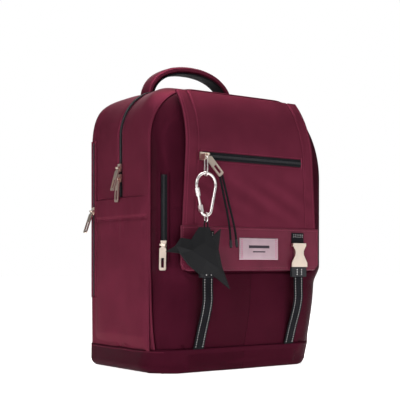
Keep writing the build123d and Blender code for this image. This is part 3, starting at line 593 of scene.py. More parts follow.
def belly_height(y):
    """Bottom of the side profile: the face curves back under 150 mm, and the base stands on the floor."""
    y = np.asarray(y, float)
    back = np.clip(y - FACE_Y, 0, None)
    lift = BELLY_Z - BASE_Z
    curve = BELLY_Z - lift * np.sqrt(np.clip(back / BELLY_BACK, 0, 1))
    past = np.clip((y - (FACE_Y + BELLY_BACK)) / (10 * MM), 0, 1)
    toe = BASE_Z * (1 - np.sqrt(1 - (1 - past) ** 2))
    heel = 6 * MM * smooth((y - (BACK_Y - 12 * MM)) / (12 * MM)) ** 2
    return np.where(y < FACE_Y + BELLY_BACK, curve, np.maximum(toe, 0.3 * MM)) + heel


def half_width(y):
    """Half width in plan: straight sides with rounded front and rear corners."""
    y = np.asarray(y, float)
    front = np.clip(FACE_Y + FRONT_CORNER - y, 0, FRONT_CORNER)
    rear = np.clip(y - (BACK_Y - REAR_CORNER), 0, REAR_CORNER)
    width = HALF_WIDTH - (FRONT_CORNER - np.sqrt(np.maximum(FRONT_CORNER**2 - front**2, 0)))
    return width - (REAR_CORNER - np.sqrt(np.maximum(REAR_CORNER**2 - rear**2, 0)))


def corner_axes(high, y):
    """Height and width of the upper corner where the crown is at a height.

    The corner is a quarter circle under the highest crown, and towards the back the
    lower crown cuts it short. In front of the hinge seam it stays a quarter circle.
    """
    rise = np.clip(TOP_CORNER - (CROWN_Z - high), 12 * MM, TOP_CORNER)
    run = np.maximum(TOP_CORNER - np.sqrt(np.maximum(TOP_CORNER**2 - rise**2, 0)), 10 * MM)
    share = smooth((y - HINGE_Y) / (40 * MM))
    return TOP_CORNER + (rise - TOP_CORNER) * share, TOP_CORNER + (run - TOP_CORNER) * share


def corner_drop(radius, depth):
    """How far a round corner falls short of the side, at a depth behind the front."""
    short = np.clip(radius - depth, 0, radius)
    return radius - np.sqrt(np.maximum(radius**2 - short**2, 0))


def tuck(points, proud=0.0):
    """Draws the lower front corners in to a larger radius, over 30 mm below the flap's edge."""
    x, y, z = points[..., 0], points[..., 1], points[..., 2]
    limit = HALF_WIDTH + proud - corner_drop(LOW_CORNER, y - front_depth(z) + proud)
    share = smooth((160 * MM - z) / (30 * MM))
    wide = half_width(y) + proud
    moved = x * (1 - share * np.maximum(1 - limit / wide, 0))
    return np.stack([moved, y, z], -1)


def section(y, s, proud=0.0):
    """A section across the bag at depth y, as a function of s from 0 to 1.

    s runs from the bottom's middle round the right side, over the top, and down the
    left side: a rectangle of the half width, with large round corners at the top and
    small ones at the bottom, taken at an even pace along its length.
    """
    y, s = np.broadcast_arrays(np.asarray(y, float), np.asarray(s, float))
    wide = half_width(y) + proud
    high = crown_height(y) + proud
    low = belly_height(y) - min(proud, 0)
    rise, run = corner_axes(high, y)
    room = (high - low) / 2
    rise, run = np.minimum(rise, room), np.minimum(run, wide * 0.9)
    low_corner = np.minimum(12 * MM, room * 0.4)
    half = np.where(s > 0.5, 1 - s, s) * 2
    sign = np.where(s > 0.5, -1.0, 1.0)
    lengths = [
        wide - low_corner,
        low_corner * pi / 2,
        high - low - rise - low_corner,
        (rise + run) * pi / 4,
        wide - run,
    ]
    ends = np.cumsum(np.stack(lengths), 0)
    at = half * ends[-1]
    corner_a = np.clip((at - ends[0]) / np.maximum(low_corner, 1e-9), 0, pi / 2)
    corner_b = np.clip((at - ends[2]) / np.maximum((rise + run) / 2, 1e-9), 0, pi / 2)
    x = np.where(at < ends[0], at, 0)
    z = np.where(at < ends[0], low, 0)
    pick = (at >= ends[0]) & (at < ends[1])
    x = np.where(pick, wide - low_corner + low_corner * np.sin(corner_a), x)
    z = np.where(pick, low + low_corner * (1 - np.cos(corner_a)), z)
    pick = (at >= ends[1]) & (at < ends[2])
    x = np.where(pick, wide, x)
    z = np.where(pick, low + low_corner + at - ends[1], z)
    pick = (at >= ends[2]) & (at < ends[3])
    x = np.where(pick, wide - run * (1 - np.cos(corner_b)), x)
    z = np.where(pick, high - rise + rise * np.sin(corner_b), z)
    pick = at >= ends[3]
    x = np.where(pick, wide - run - (at - ends[3]), x)
    z = np.where(pick, high, z)
    return tuck(np.stack([sign * x, y, z], -1), proud)


def side_s(z, y):
    """The section parameter where the side of the bag is at height z."""
    wide, high, low = half_width(y), crown_height(y), belly_height(y)
    rise, run = corner_axes(high, y)
    low_corner = np.minimum(12 * MM, (high - low) / 5)
    rise = np.minimum(rise, (high - low) / 2)
    total = (wide - low_corner + low_corner * pi / 2 + high - low - rise - low_corner
             + (rise + run) * pi / 4 + wide - run)
    at = wide - low_corner + low_corner * pi / 2 + (z - low - low_corner)
    return at / total / 2


def front_depth(z):
    """Depth of the front's middle at a height: the belly arc, the flat face, the shoulder arc."""
    z = np.asarray(z, float)
    front = HINGE_Z - SHOULDER_Z
    reach = HINGE_Y - FACE_Y
    radius = (front**2 + reach**2) / (2 * reach)
    up = np.clip(z - SHOULDER_Z, 0, radius)
    shoulder = FACE_Y + radius - np.sqrt(np.maximum(radius**2 - up**2, 0))
    down = np.clip((BELLY_Z - z) / (BELLY_Z - BASE_Z), 0, 1.2)
    return np.where(z > SHOULDER_Z, shoulder, FACE_Y + BELLY_BACK * down**2)


def swell(points, seams=()):
    """The normals of a grid, and how far each point moves along them.

    The move is made of slow folds, finer puckers, and a dip at each seam.
    """
    normal = normals_of(points)
    slow = ripple(points, (70 * MM, 60 * MM, 95 * MM))
    fine = ripple(points + 0.3, (26 * MM, 22 * MM, 34 * MM))
    shift = sizes().wrinkle * (0.75 * slow + 0.35 * fine)
    for distance, width, depth in seams:
        shift = shift - depth * bump(distance, width)
    return normal, shift


def cloth_panel(name, y, seams):
    """A sheet of the bag's form over depths y, all the way round.

    Each point is the section's point, moved along the normal by the folds of swell.
    It stays flat beside the upright zips and above the floor.
    """
    yy, ss = np.meshgrid(y, AROUND, indexing="ij")
    points = section(yy, ss)
    normal, shift = swell(points, seams(points, yy))
    for calm_y in (spot("laptop_zip_tape").y, spot("front_zip_tape").y):
        shift = shift * (1 - bump(yy - calm_y, 11 * MM))
    grid = points + normal * shift[..., None]
    grid[..., 2] = np.maximum(grid[..., 2], 0.2 * MM)
    return add_grid(name, grid), grid


def paced(low, high, count, pull=1.0):
    """Values from low to high that crowd both ends: half a cosine, mixed with an even pace."""
    t = np.linspace(0, 1, count)
    return low + (high - low) * (pull * (1 - np.cos(pi * t)) / 2 + (1 - pull) * t)


AROUND = np.linspace(0.0, 1.0, 421)
SIDES = (("left", -1), ("right", 1))


class BACKPACK_OT_main_body(bpy.types.Operator):
    """Main compartment: the cloth between the front seam and the zip, and behind the zip"""

    bl_idname = "backpack.main_body"
    bl_label = "Main compartment"

    def execute(self, context):
        pinch = sizes().puff

        def front_seams(points, y):
            yield y - SEAM_Y, 3 * MM, pinch
            yield y - (ZIP_Y - ZIP_HALF), 3 * MM, pinch * 0.6

        y = paced(SEAM_Y, ZIP_Y - ZIP_HALF, 44, 0.5)
        obj, _ = cloth_panel("main_front_cloth", y, front_seams)
        finish_cloth(obj, "upper", ["main_front_shell"])

        def rear_seams(points, y):
            yield y - (ZIP_Y + ZIP_HALF), 3 * MM, pinch * 0.6
            yield y - (BACK_Y - 1 * MM), 4 * MM, pinch * 0.5

        bend = 34 * MM
        y = np.concatenate([np.linspace(ZIP_Y + ZIP_HALF, BACK_Y - bend, 20)[:-1],
                            BACK_Y - bend * np.cos(np.linspace(0, pi / 2, 22))])
        y[-1] = BACK_Y
        obj, grid = cloth_panel("main_rear_cloth", y, rear_seams)
        finish_cloth(obj, "upper", ["rear_shell"])
        self.back(grid[-1])
        return {"FINISHED"}

    @staticmethod
    def back(edge):
        """The back: the last ring drawn in to its middle line, with slow folds."""
        middle = np.stack([edge[:, 0] * 0, np.full(len(edge), BACK_Y), np.clip(edge[:, 2], 0.14, 0.33)], -1)
        t = np.linspace(0, 1, 24)[:, None, None]
        grid = edge[None] * (1 - t) + middle[None] * t
        grid[..., 1] = edge[None, :, 1] + (BACK_Y - edge[None, :, 1]) * smooth(t[..., 0] * 3)
        folds = ripple(grid, (60 * MM, 60 * MM, 80 * MM)) * sizes().wrinkle * 0.6
        grid[..., 1] += folds * smooth(t[..., 0] * 4)
        finish_cloth(add_grid("main_back_cloth", grid), "upper")


class BACKPACK_OT_front_compartment(bpy.types.Operator):
    """Front compartment: the rounded box under the flap, with its face, corner seams and base seam"""

    bl_idname = "backpack.front_compartment"
    bl_label = "Front compartment"

    def execute(self, context):
        pinch = sizes().puff

        def seams(points, y):
            yield y - SEAM_Y, 3 * MM, pinch
            low = points[..., 2] - 245 * MM
            yield np.where(points[..., 1] < FACE_Y + 45 * MM, low, 1), 2.5 * MM, pinch * 0.5

        y = FACE_Y + (SEAM_Y - FACE_Y) * np.linspace(0, 1, 46) ** 2
        obj, grid = cloth_panel("front_side_cloth", y, seams)
        # The front compartment takes the lower nylon: painted shade, a darker copy of the upper nylon.
        finish_cloth(obj, "lower", ["front_compartment"])
        self.face(grid[0])
        self.piping(SEAM_Y - 1.2 * MM, 1.5 * MM)
        return {"FINISHED"}

    @staticmethod
    def face(edge):
        """The front face: the first ring drawn in to its middle, lifted a little by slow folds."""
        middle = np.stack([edge[:, 0] * 0.0, edge[:, 1], np.clip(edge[:, 2], 0.2, 0.27)], -1)
        t = np.linspace(0, 1, 60)[:, None]
        grid = edge[None] * (1 - t[..., None]) + middle[None] * t[..., None]
        slow = ripple(grid, (55 * MM, 50 * MM, 40 * MM)) * 0.8
        fine = ripple(grid + 0.7, (20 * MM, 30 * MM, 24 * MM)) * 0.3
        grid[..., 1] += sizes().wrinkle * (slow + fine) * smooth(t * 3)
        finish_cloth(add_grid("front_face_cloth", grid, flip=True), "lower")

    @staticmethod
    def piping(depth, radius):
        """A round cord of cloth sewn into the seam: a circle carried round the section."""
        path = section(np.full(len(AROUND) - 1, depth), AROUND[:-1], 0.3 * MM)
        path[:, 2] = np.maximum(path[:, 2], radius)
        path = resample(np.concatenate([path, path[:1]]), 3 * MM)[:-1]
        obj = add_tube("front_seam_piping", path, round_outline(radius, 8), closed=True, up=(0, 1, 0))
        finish_piece(obj, "bag", finish_of("upper"))


class BACKPACK_OT_base(bpy.types.Operator):
    """Base: the cloth round the foot of the bag, darkened with painted shade, proud of the body, with its seam"""

    bl_idname = "backpack.base"
    bl_label = "Base"

    def execute(self, context):
        y = np.concatenate([
            FACE_Y + BELLY_BACK * np.linspace(1.0, 2.2, 12)[:-1],
            np.linspace(FACE_Y + BELLY_BACK * 2.2, BACK_Y - 14 * MM, 60)[:-1],
            BACK_Y - 14 * MM * np.cos(np.linspace(0, pi / 2, 10)),
        ])
        t = np.linspace(-1, 1, 181)
        reach = side_s(36 * MM, y)
        grid = section(np.repeat(y[:, None], len(t), 1), np.abs(t)[None, :] * reach[:, None], 1.5 * MM)
        grid[:, t < 0, 0] *= -1
        normal, shift = swell(grid)
        grid = grid + normal * np.where(grid[..., 2] < 8 * MM, 0, shift)[..., None]
        grid[..., 2] = np.maximum(grid[..., 2], 0.1 * MM)
        finish_cloth(add_grid("base_cloth", grid), "lower", ["base_panel"], 1.8 * MM, "base")
        for side, sign, edge in (("right", 1, grid[:, -1]), ("left", -1, grid[:, 0])):
            line = edge + [sign * 0.4 * MM, 0, -3 * MM]
            sew(side + "_base_stitching", line[6:-6], (sign, 0, 0), "bag", "lower_nylon")
        self.front()
        return {"FINISHED"}

    @staticmethod
    def front():
        """The base's front: a sheet that curves in at its foot and round both lower corners."""
        inset = 6 * MM
        x = np.linspace(-1, 1, 120) * (HALF_WIDTH - inset)
        xx, up = np.meshgrid(x, np.linspace(0, 1, 14), indexing="ij")
        height = 0.5 * MM + 36 * MM * up
        corner = corner_drop(LOW_CORNER, HALF_WIDTH - inset - np.abs(xx) + inset)
        front = front_depth(height) + 9 * MM * (1 - up) ** 4 + corner - 2.2 * MM
        front += 0.6 * MM * ripple(np.stack([xx, front, height], -1), (40 * MM, 20 * MM, 20 * MM))
        grid = np.stack([xx, front, height], -1)
        finish_cloth(add_grid("base_front_cloth", grid), "lower", (), 1.6 * MM, "base")


class BACKPACK_OT_side_pockets(bpy.types.Operator):
    """Side pockets: a soft panel on each side with a folded, stitched hem"""

    bl_idname = "backpack.side_pockets"
    bl_label = "Side pockets"

    def execute(self, context):
        for side, sign in SIDES:
            self.pocket(side, sign)
        return {"FINISHED"}

    @staticmethod
    def pocket(side, sign):
        """One pocket: a sheet over depth and height that bellies out at its mouth.

        It stands 3 mm proud in its middle, falls back to the body along its front,
        rear and bottom edges, dips at the hem's stitch line, and puckers below it.
        """
        low, high = POCKET_LOW, POCKET_HIGH
        outer = max(abs(low.x), abs(high.x))
        y = paced(low.y - 3 * MM, high.y + 3 * MM, 90, 0.6)
        fold = 3 * MM
        z = np.concatenate([
            np.linspace(34 * MM, HEM_Z - fold, 110), HEM_Z - fold * np.cos(np.linspace(0.2, pi / 2, 6))])
        yy, zz = np.meshgrid(y, z, indexing="ij")
        across = np.clip((yy - y[0]) / (y[-1] - y[0]), 0, 1)
        edge = 1 - (2 * across - 1) ** 8
        up = (zz - z[0]) / (z[-1] - z[0])
        body = HALF_WIDTH - 0.5 * MM
        belly = 0.5 * MM * np.sin(pi * across) * smooth(up * 1.5 - 0.3)
        hem_line = HEM_Z - sizes().pocket_hem
        x = body + (outer - body) * edge * smooth(up * 10) + belly
        x -= 1.5 * MM * bump(zz - hem_line, 2.2 * MM)
        x += 0.4 * MM * bump(zz - (HEM_Z - 15 * MM), 13 * MM)
        at = np.stack([x, yy, zz], -1)
        pucker = ripple(at + 0.11, (20 * MM, 9 * MM, 40 * MM)) * bump(zz - hem_line + 8 * MM, 22 * MM)
        x += sizes().wrinkle * (0.45 * ripple(at, (40 * MM, 45 * MM, 70 * MM)) + 0.5 * pucker - 0.3) * edge
        x -= 3.5 * MM * (1 - np.cos(np.clip((zz - HEM_Z + fold) / fold, 0, 1) * pi / 2))
        grid = np.stack([sign * x, yy, zz], -1)
        obj = add_grid(side + "_pocket_cloth", grid, flip=sign < 0)
        finish_cloth(obj, "lower", [side + "_side_pocket"], 1.4 * MM, "upper")
        row = int(np.argmin(np.abs(z - hem_line)))
        for index, shift in enumerate((0, -2.2 * MM)):
            line = grid[4:-4, row] + [sign * (0.9 * MM - index * 0.1 * MM), 0, shift]
            sew(f"{side}_hem_stitching_{index}", line, (sign, 0, 0), "bag", "upper_nylon")


def spot(node):
    """The middle of a node's box."""
    low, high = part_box(node)
    return (low + high) / 2


# ---------------------------------------------------------------------------
# Flap, band and webbing
# ---------------------------------------------------------------------------
FLAP_TOP = FLAP_HIGH.z
FLAP_LOW_Z = FLAP_LOW.z
FLAP_HALF_LOW = max(abs(FLAP_LOW.x), abs(FLAP_HIGH.x))
FLAP_HALF_TOP = FLAP_HALF_LOW - 15 * MM
FLAP_OUT = FACE_Y - FLAP_LOW.y


def flap_half(z):
    """Half width of the flap at a height: a straight taper from the low edge to the hinge."""
    up = (np.asarray(z, float) - FLAP_LOW_Z) / (FLAP_TOP - FLAP_LOW_Z)
    return FLAP_HALF_LOW + (FLAP_HALF_TOP - FLAP_HALF_LOW) * np.clip(up, 0, 1)


def flap_surface(u, z, out):
    """A point of the flap: u from -1 to 1 across it, at height z, standing out from the bag's face.

    The side profile gives its depth, and out moves it along the profile's normal.
    """
    u, z = np.broadcast_arrays(u, z)
    step = 0.5 * MM
    slope = (front_depth(z + step) - front_depth(z - step)) / (2 * step)
    slope = np.clip(slope, -1.6, 1.6) * (z > SHOULDER_Z)
    size = np.sqrt(1 + slope**2)
    y = np.maximum(front_depth(z), FACE_Y) - out / size
    return np.stack([u * flap_half(z), y, z + out * slope / size], -1)


class BACKPACK_OT_flap(bpy.types.Operator):
    """Front flap: a padded panel with rolled edges, a stitched inner panel, and soft pleats"""

    bl_idname = "backpack.flap"
    bl_label = "Front flap"

    def execute(self, context):
        u = paced(-1, 1, 130, 0.35)
        z = np.concatenate([
            np.linspace(FLAP_LOW_Z, 300 * MM, 110)[:-1], np.linspace(300 * MM, FLAP_TOP - 1 * MM, 110)])
        uu, zz = np.meshgrid(u, z, indexing="ij")
        inset = (1 - np.abs(uu)) * flap_half(zz)
        low_inset = zz - FLAP_LOW_Z
        corner = np.clip(9 * MM - inset - low_inset, 0, None)
        rim = np.minimum(inset, np.minimum(low_inset + 0.2 * MM, 9))
        roll = roll_over(rim, 3 * MM)
        gap = 0.9 * MM
        out = gap + (FLAP_OUT - gap) * (0.45 + 0.55 * roll)
        at = flap_surface(uu, zz, 0)
        amount = sizes().wrinkle
        folds = 0.55 * ripple(at, (90 * MM, 60 * MM, 80 * MM))
        folds = folds + 0.25 * ripple(at + 0.2, (28 * MM, 30 * MM, 26 * MM))
        below = bump(zz - 262 * MM, 30 * MM)
        sway = 1.5 * ripple(at, (60 * MM, 60 * MM, 60 * MM))
        pleat = np.sin((at[..., 0] * 0.55 + at[..., 2]) * 2 * pi / (34 * MM) + sway)
        out = out + amount * (folds + 0.45 * below * pleat) * smooth(inset / (14 * MM)) * (zz > 218 * MM)
        line = np.abs(inset - 20 * MM)
        out = out - 1.0 * MM * bump(line, 1.8 * MM) * (zz > 222 * MM)
        out = out - 0.8 * MM * bump(zz - 321 * MM, 9 * MM) * smooth((100 * MM - np.abs(at[..., 0])) / (6 * MM))
        shift = np.sign(uu) * corner * 0.5
        outer = flap_surface(uu, zz, out)
        outer[..., 0] -= shift
        outer[..., 2] += corner * 0.5
        inner = flap_surface(uu, zz, np.full_like(out, gap))
        inner[..., 0] = outer[..., 0]
        inner[..., 2] = np.maximum(inner[..., 2], outer[..., 2] - 4 * MM)
        obj = add_solid_grid("flap_cloth", outer, inner)
        finish_piece(obj, "flap", finish_of("upper"), ["flap_panel"])
        zs = np.linspace(222 * MM, FLAP_TOP - 6 * MM, 120)
        for side, sign in SIDES:
            for name, gap in (("edge", 5 * MM), ("inner", 21.5 * MM)):
                path = flap_surface(sign * (1 - gap / flap_half(zs)), zs, FLAP_OUT + 0.15 * MM)
                sew(f"flap_{side}_{name}_stitching", path, (0, -1, 0.1), "flap", "upper_nylon")
        return {"FINISHED"}


class BACKPACK_OT_band(bpy.types.Operator):
    """Leather band along the flap's lower edge, with its stitching and the blank metal patch"""

    bl_idname = "backpack.band"
    bl_label = "Leather band and patch"

    def execute(self, context):
        low, high = BAND_LOW, BAND_HIGH
        half = max(abs(low.x), abs(high.x)) + 0.6 * MM
        u = paced(-1, 1, 120, 0.3)
        z = paced(low.z - 0.6 * MM, high.z, 46, 0.4)
        uu, zz = np.meshgrid(u, z, indexing="ij")
        inset = (1 - np.abs(uu)) * half
        rim = np.minimum(inset, np.minimum(zz - z[0], z[-1] - zz))
        roll = roll_over(rim, 1.6 * MM)
        corner = np.clip(10 * MM - inset - (zz - z[0]), 0, None)
        at = np.stack([uu * half, 0 * zz, zz], -1)
        wave = 0.35 * MM * ripple(at, (60 * MM, 60 * MM, 30 * MM)) * smooth(rim / (8 * MM))
        face = low.y - 0.15 * MM
        y = face + 1.5 * MM * (1 - roll) - wave + 0.35 * MM * bump(rim - 4 * MM, 0.9 * MM)
        x = uu * half - np.sign(uu) * corner * 0.5
        zc = zz + corner * 0.5
        outer = np.stack([x, y, zc], -1)
        inner = np.stack([x, np.full_like(y, face + 2.2 * MM), zc], -1)
        obj = add_solid_grid("band_leather", outer, inner)
        finish_piece(obj, "flap", finish_of("band"), ["leather_band"])
        edge = half - 4 * MM
        for name, path in (
            ("low", [(-edge + 6 * MM, face, z[0] + 4 * MM), (edge - 6 * MM, face, z[0] + 4 * MM)]),
            ("top", [(-edge, face, z[-1] - 3 * MM), (edge, face, z[-1] - 3 * MM)]),
            ("left", [(-edge, face, z[0] + 10 * MM), (-edge, face, z[-1] - 4 * MM)]),
            ("right", [(edge, face, z[0] + 10 * MM), (edge, face, z[-1] - 4 * MM)]),
        ):
            sew("band_stitching_" + name, path, (0, -1, 0), "flap", "leather")
        self.patch()
        return {"FINISHED"}

    @staticmethod
    def patch():
        """The patch: a thin plate with a rolled rim, two plain bars, and stitches at its ends."""
        low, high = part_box("label_patch")
        x = paced(low.x, high.x, 40, 0.8)
        z = paced(low.z, high.z, 24, 0.8)
        xx, zz = np.meshgrid(x, z, indexing="ij")
        rim = np.minimum(np.minimum(xx - low.x, high.x - xx), np.minimum(zz - low.z, high.z - zz))
        roll = roll_over(rim, 1 * MM)
        y = low.y + 0.8 * MM * (1 - roll) + 0.25 * MM * bump(rim - 2.4 * MM, 0.6 * MM)
        outer = np.stack([xx, y, zz], -1)
        inner = np.stack([xx, np.full_like(y, high.y), zz], -1)
        obj = add_solid_grid("label_plate", outer, inner)
        finish_piece(obj, "flap", finish_of("label"), ["label_patch"])
        middle = (low + high) / 2
        for index, (width, height, drop) in enumerate(((40, 4.2, -3.0), (24, 1.8, 4.5))):
            bar_x = np.linspace(-width / 2, width / 2, 12) * MM + middle.x
            bar_z = np.linspace(-height / 2, height / 2, 5) * MM + middle.z - drop * MM
            xx, zz = np.meshgrid(bar_x, bar_z, indexing="ij")
            outer = np.stack([xx, np.full_like(xx, low.y - 0.25 * MM), zz], -1)
            obj = add_solid_grid(f"label_bar_{index}", outer, outer + [0, 0.3 * MM, 0])
            finish_piece(obj, "flap", finish_of("ink"))
        for side, x_at in (("left", low.x + 3.2 * MM), ("right", high.x - 3.2 * MM)):
            for row, shift in enumerate((0, 2.2 * MM if side == "left" else -2.2 * MM)):
                path = [(x_at + shift, low.y - 0.1 * MM, z_at) for z_at in (low.z + 3 * MM, high.z - 3 * MM)]
                sew(f"label_{side}_stitching_{row}", path, (0, -1, 0), "flap", "label_metal", "pink_thread",
                    2.6 * MM, 1.8 * MM, 0.9 * MM)


class BACKPACK_OT_buckle_straps(bpy.types.Operator):
    """Front webbing: ribbed straps above and below each buckle, with reflective stitching"""

    bl_idname = "backpack.buckle_straps"
    bl_label = "Buckle straps"

    def execute(self, context):
        for side, _ in SIDES:
            self.upper(side)
            self.lower(side)
        return {"FINISHED"}

    @staticmethod
    def strip(name, path, width, thickness):
        """A flat woven strip: a flat band carried along a path, ribbed by a small sine across it."""
        path = resample(path, 0.8 * MM)
        across = np.array([1.0, 0, 0])
        out = unit(np.cross(across, heading(path)))
        t = np.linspace(-1, 1, 33)
        rim = np.sqrt(np.clip(1 - np.clip((np.abs(t) - 0.9) / 0.1, 0, 1) ** 2, 0.05, 1))
        rib = 0.12 * MM * np.cos(t * width / 2 / (1.6 * MM) * 2 * pi)
        weft = 0.08 * MM * np.sin(np.arange(len(path)) * 0.8 * MM / (1.9 * MM) * 2 * pi)
        depth = (thickness / 2 + rib[None]) * rim[None] + weft[:, None] * rim[None]
        middle = path[:, None] + across * (t[None, :, None] * width / 2)
        outer = middle + out[:, None] * depth[..., None]
        inner = middle - out[:, None] * (thickness / 2 * rim[None, :, None])
        return add_solid_grid(name, outer, inner), path, out

    @classmethod
    def upper(cls, side):
        """The strap above a buckle, straight down the flap."""
        low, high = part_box(side + "_upper_web")
        x, y = (low.x + high.x) / 2, (low.y + high.y) / 2
        path = [(x, y, high.z), (x, y, low.z)]
        obj, _, _ = cls.strip(side + "_upper_strap", path, high.x - low.x, high.y - low.y)
        finish_piece(obj, "flap", finish_of("webbing"), [side + "_upper_web"])
        cls.box_stitch(side, x, low.y - 0.3 * MM, high.z)

    @staticmethod
    def box_stitch(side, x, y, top):
        """The two rows of stitches that hold the strap to the band."""
        for row, z in enumerate((top - 3 * MM, top - 6 * MM)):
            path = [(x - 9 * MM, y, z), (x + 9 * MM, y, z)]
            sew(f"{side}_strap_tack_{row}", path, (0, -1, 0), "flap", "webbing", "silver_thread", 2.6 * MM)

    @classmethod
    def lower(cls, side):
        """The strap below a buckle: down the face, then back with the belly, with a little slack."""
        low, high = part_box(side + "_lower_web")
        x = (low.x + high.x) / 2
        front = low.y + 0.6 * MM
        foot_z, bend = low.z, 112 * MM
        rise = np.linspace(0, 1, 30)
        z = foot_z + 0.6 * MM + (high.z - foot_z - 0.6 * MM) * rise
        slack = (front - (high.y - 1.2 * MM)) * np.clip((bend - z) / (bend - foot_z), 0, 1) ** 1.15
        y = front - slack + 0.8 * MM * np.sin(rise * pi * 3) * np.sin(rise * pi)
        path = np.stack([np.full_like(z, x), y, z], -1)
        obj, path, out = cls.strip(side + "_lower_strap", path, high.x - low.x, 1.5 * MM)
        finish_piece(obj, None, finish_of("webbing"), [side + "_lower_web"])
        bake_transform(obj)
        for row, shift in enumerate((-6.2 * MM, 6.2 * MM)):
            line = path + [shift, 0, 0] + out * 0.75 * MM * np.sign((out * [0, -1, 0]).sum(1, keepdims=True))
            stitch = sew(f"{side}_strap_stitching_{row}", line[5:-5], (0, -1, 0), None, "webbing",
                         "silver_thread", 3.6 * MM, 2.1 * MM, 0.8 * MM)
            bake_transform(stitch)


# ---------------------------------------------------------------------------
# Zips
# ---------------------------------------------------------------------------
def zip_teeth(name, path, out, body, nodes, gap=1.3 * MM):
    """Two staggered rows of coil loops, each a low lozenge, on either side of a path."""
    pitch = sizes().tooth_pitch
    at = resample(path, pitch / 2)
    ahead = heading(at)
    out = spread(out, np.linspace(0, 1, len(at)))
    out = unit(out - (out * ahead).sum(1, keepdims=True) * ahead)
    side = np.cross(ahead, out)
    way = np.where(np.arange(len(at)) % 2, 1.0, -1.0)[:, None]
    obj = add_repeats(name, at + side * way * gap * 0.55, side, out, (2.6 * MM, pitch * 0.62, 1.3 * MM))
    return finish_piece(obj, body, finish_of("coil"), nodes)


def zip_tape(name, grid, body, nodes, flip=False):
    """The woven tape: a thin sheet with a wall behind it."""
    obj = add_wall(add_grid(name, grid, flip=flip), 0.8 * MM)
    return finish_piece(obj, body, finish_of("tape"), nodes)


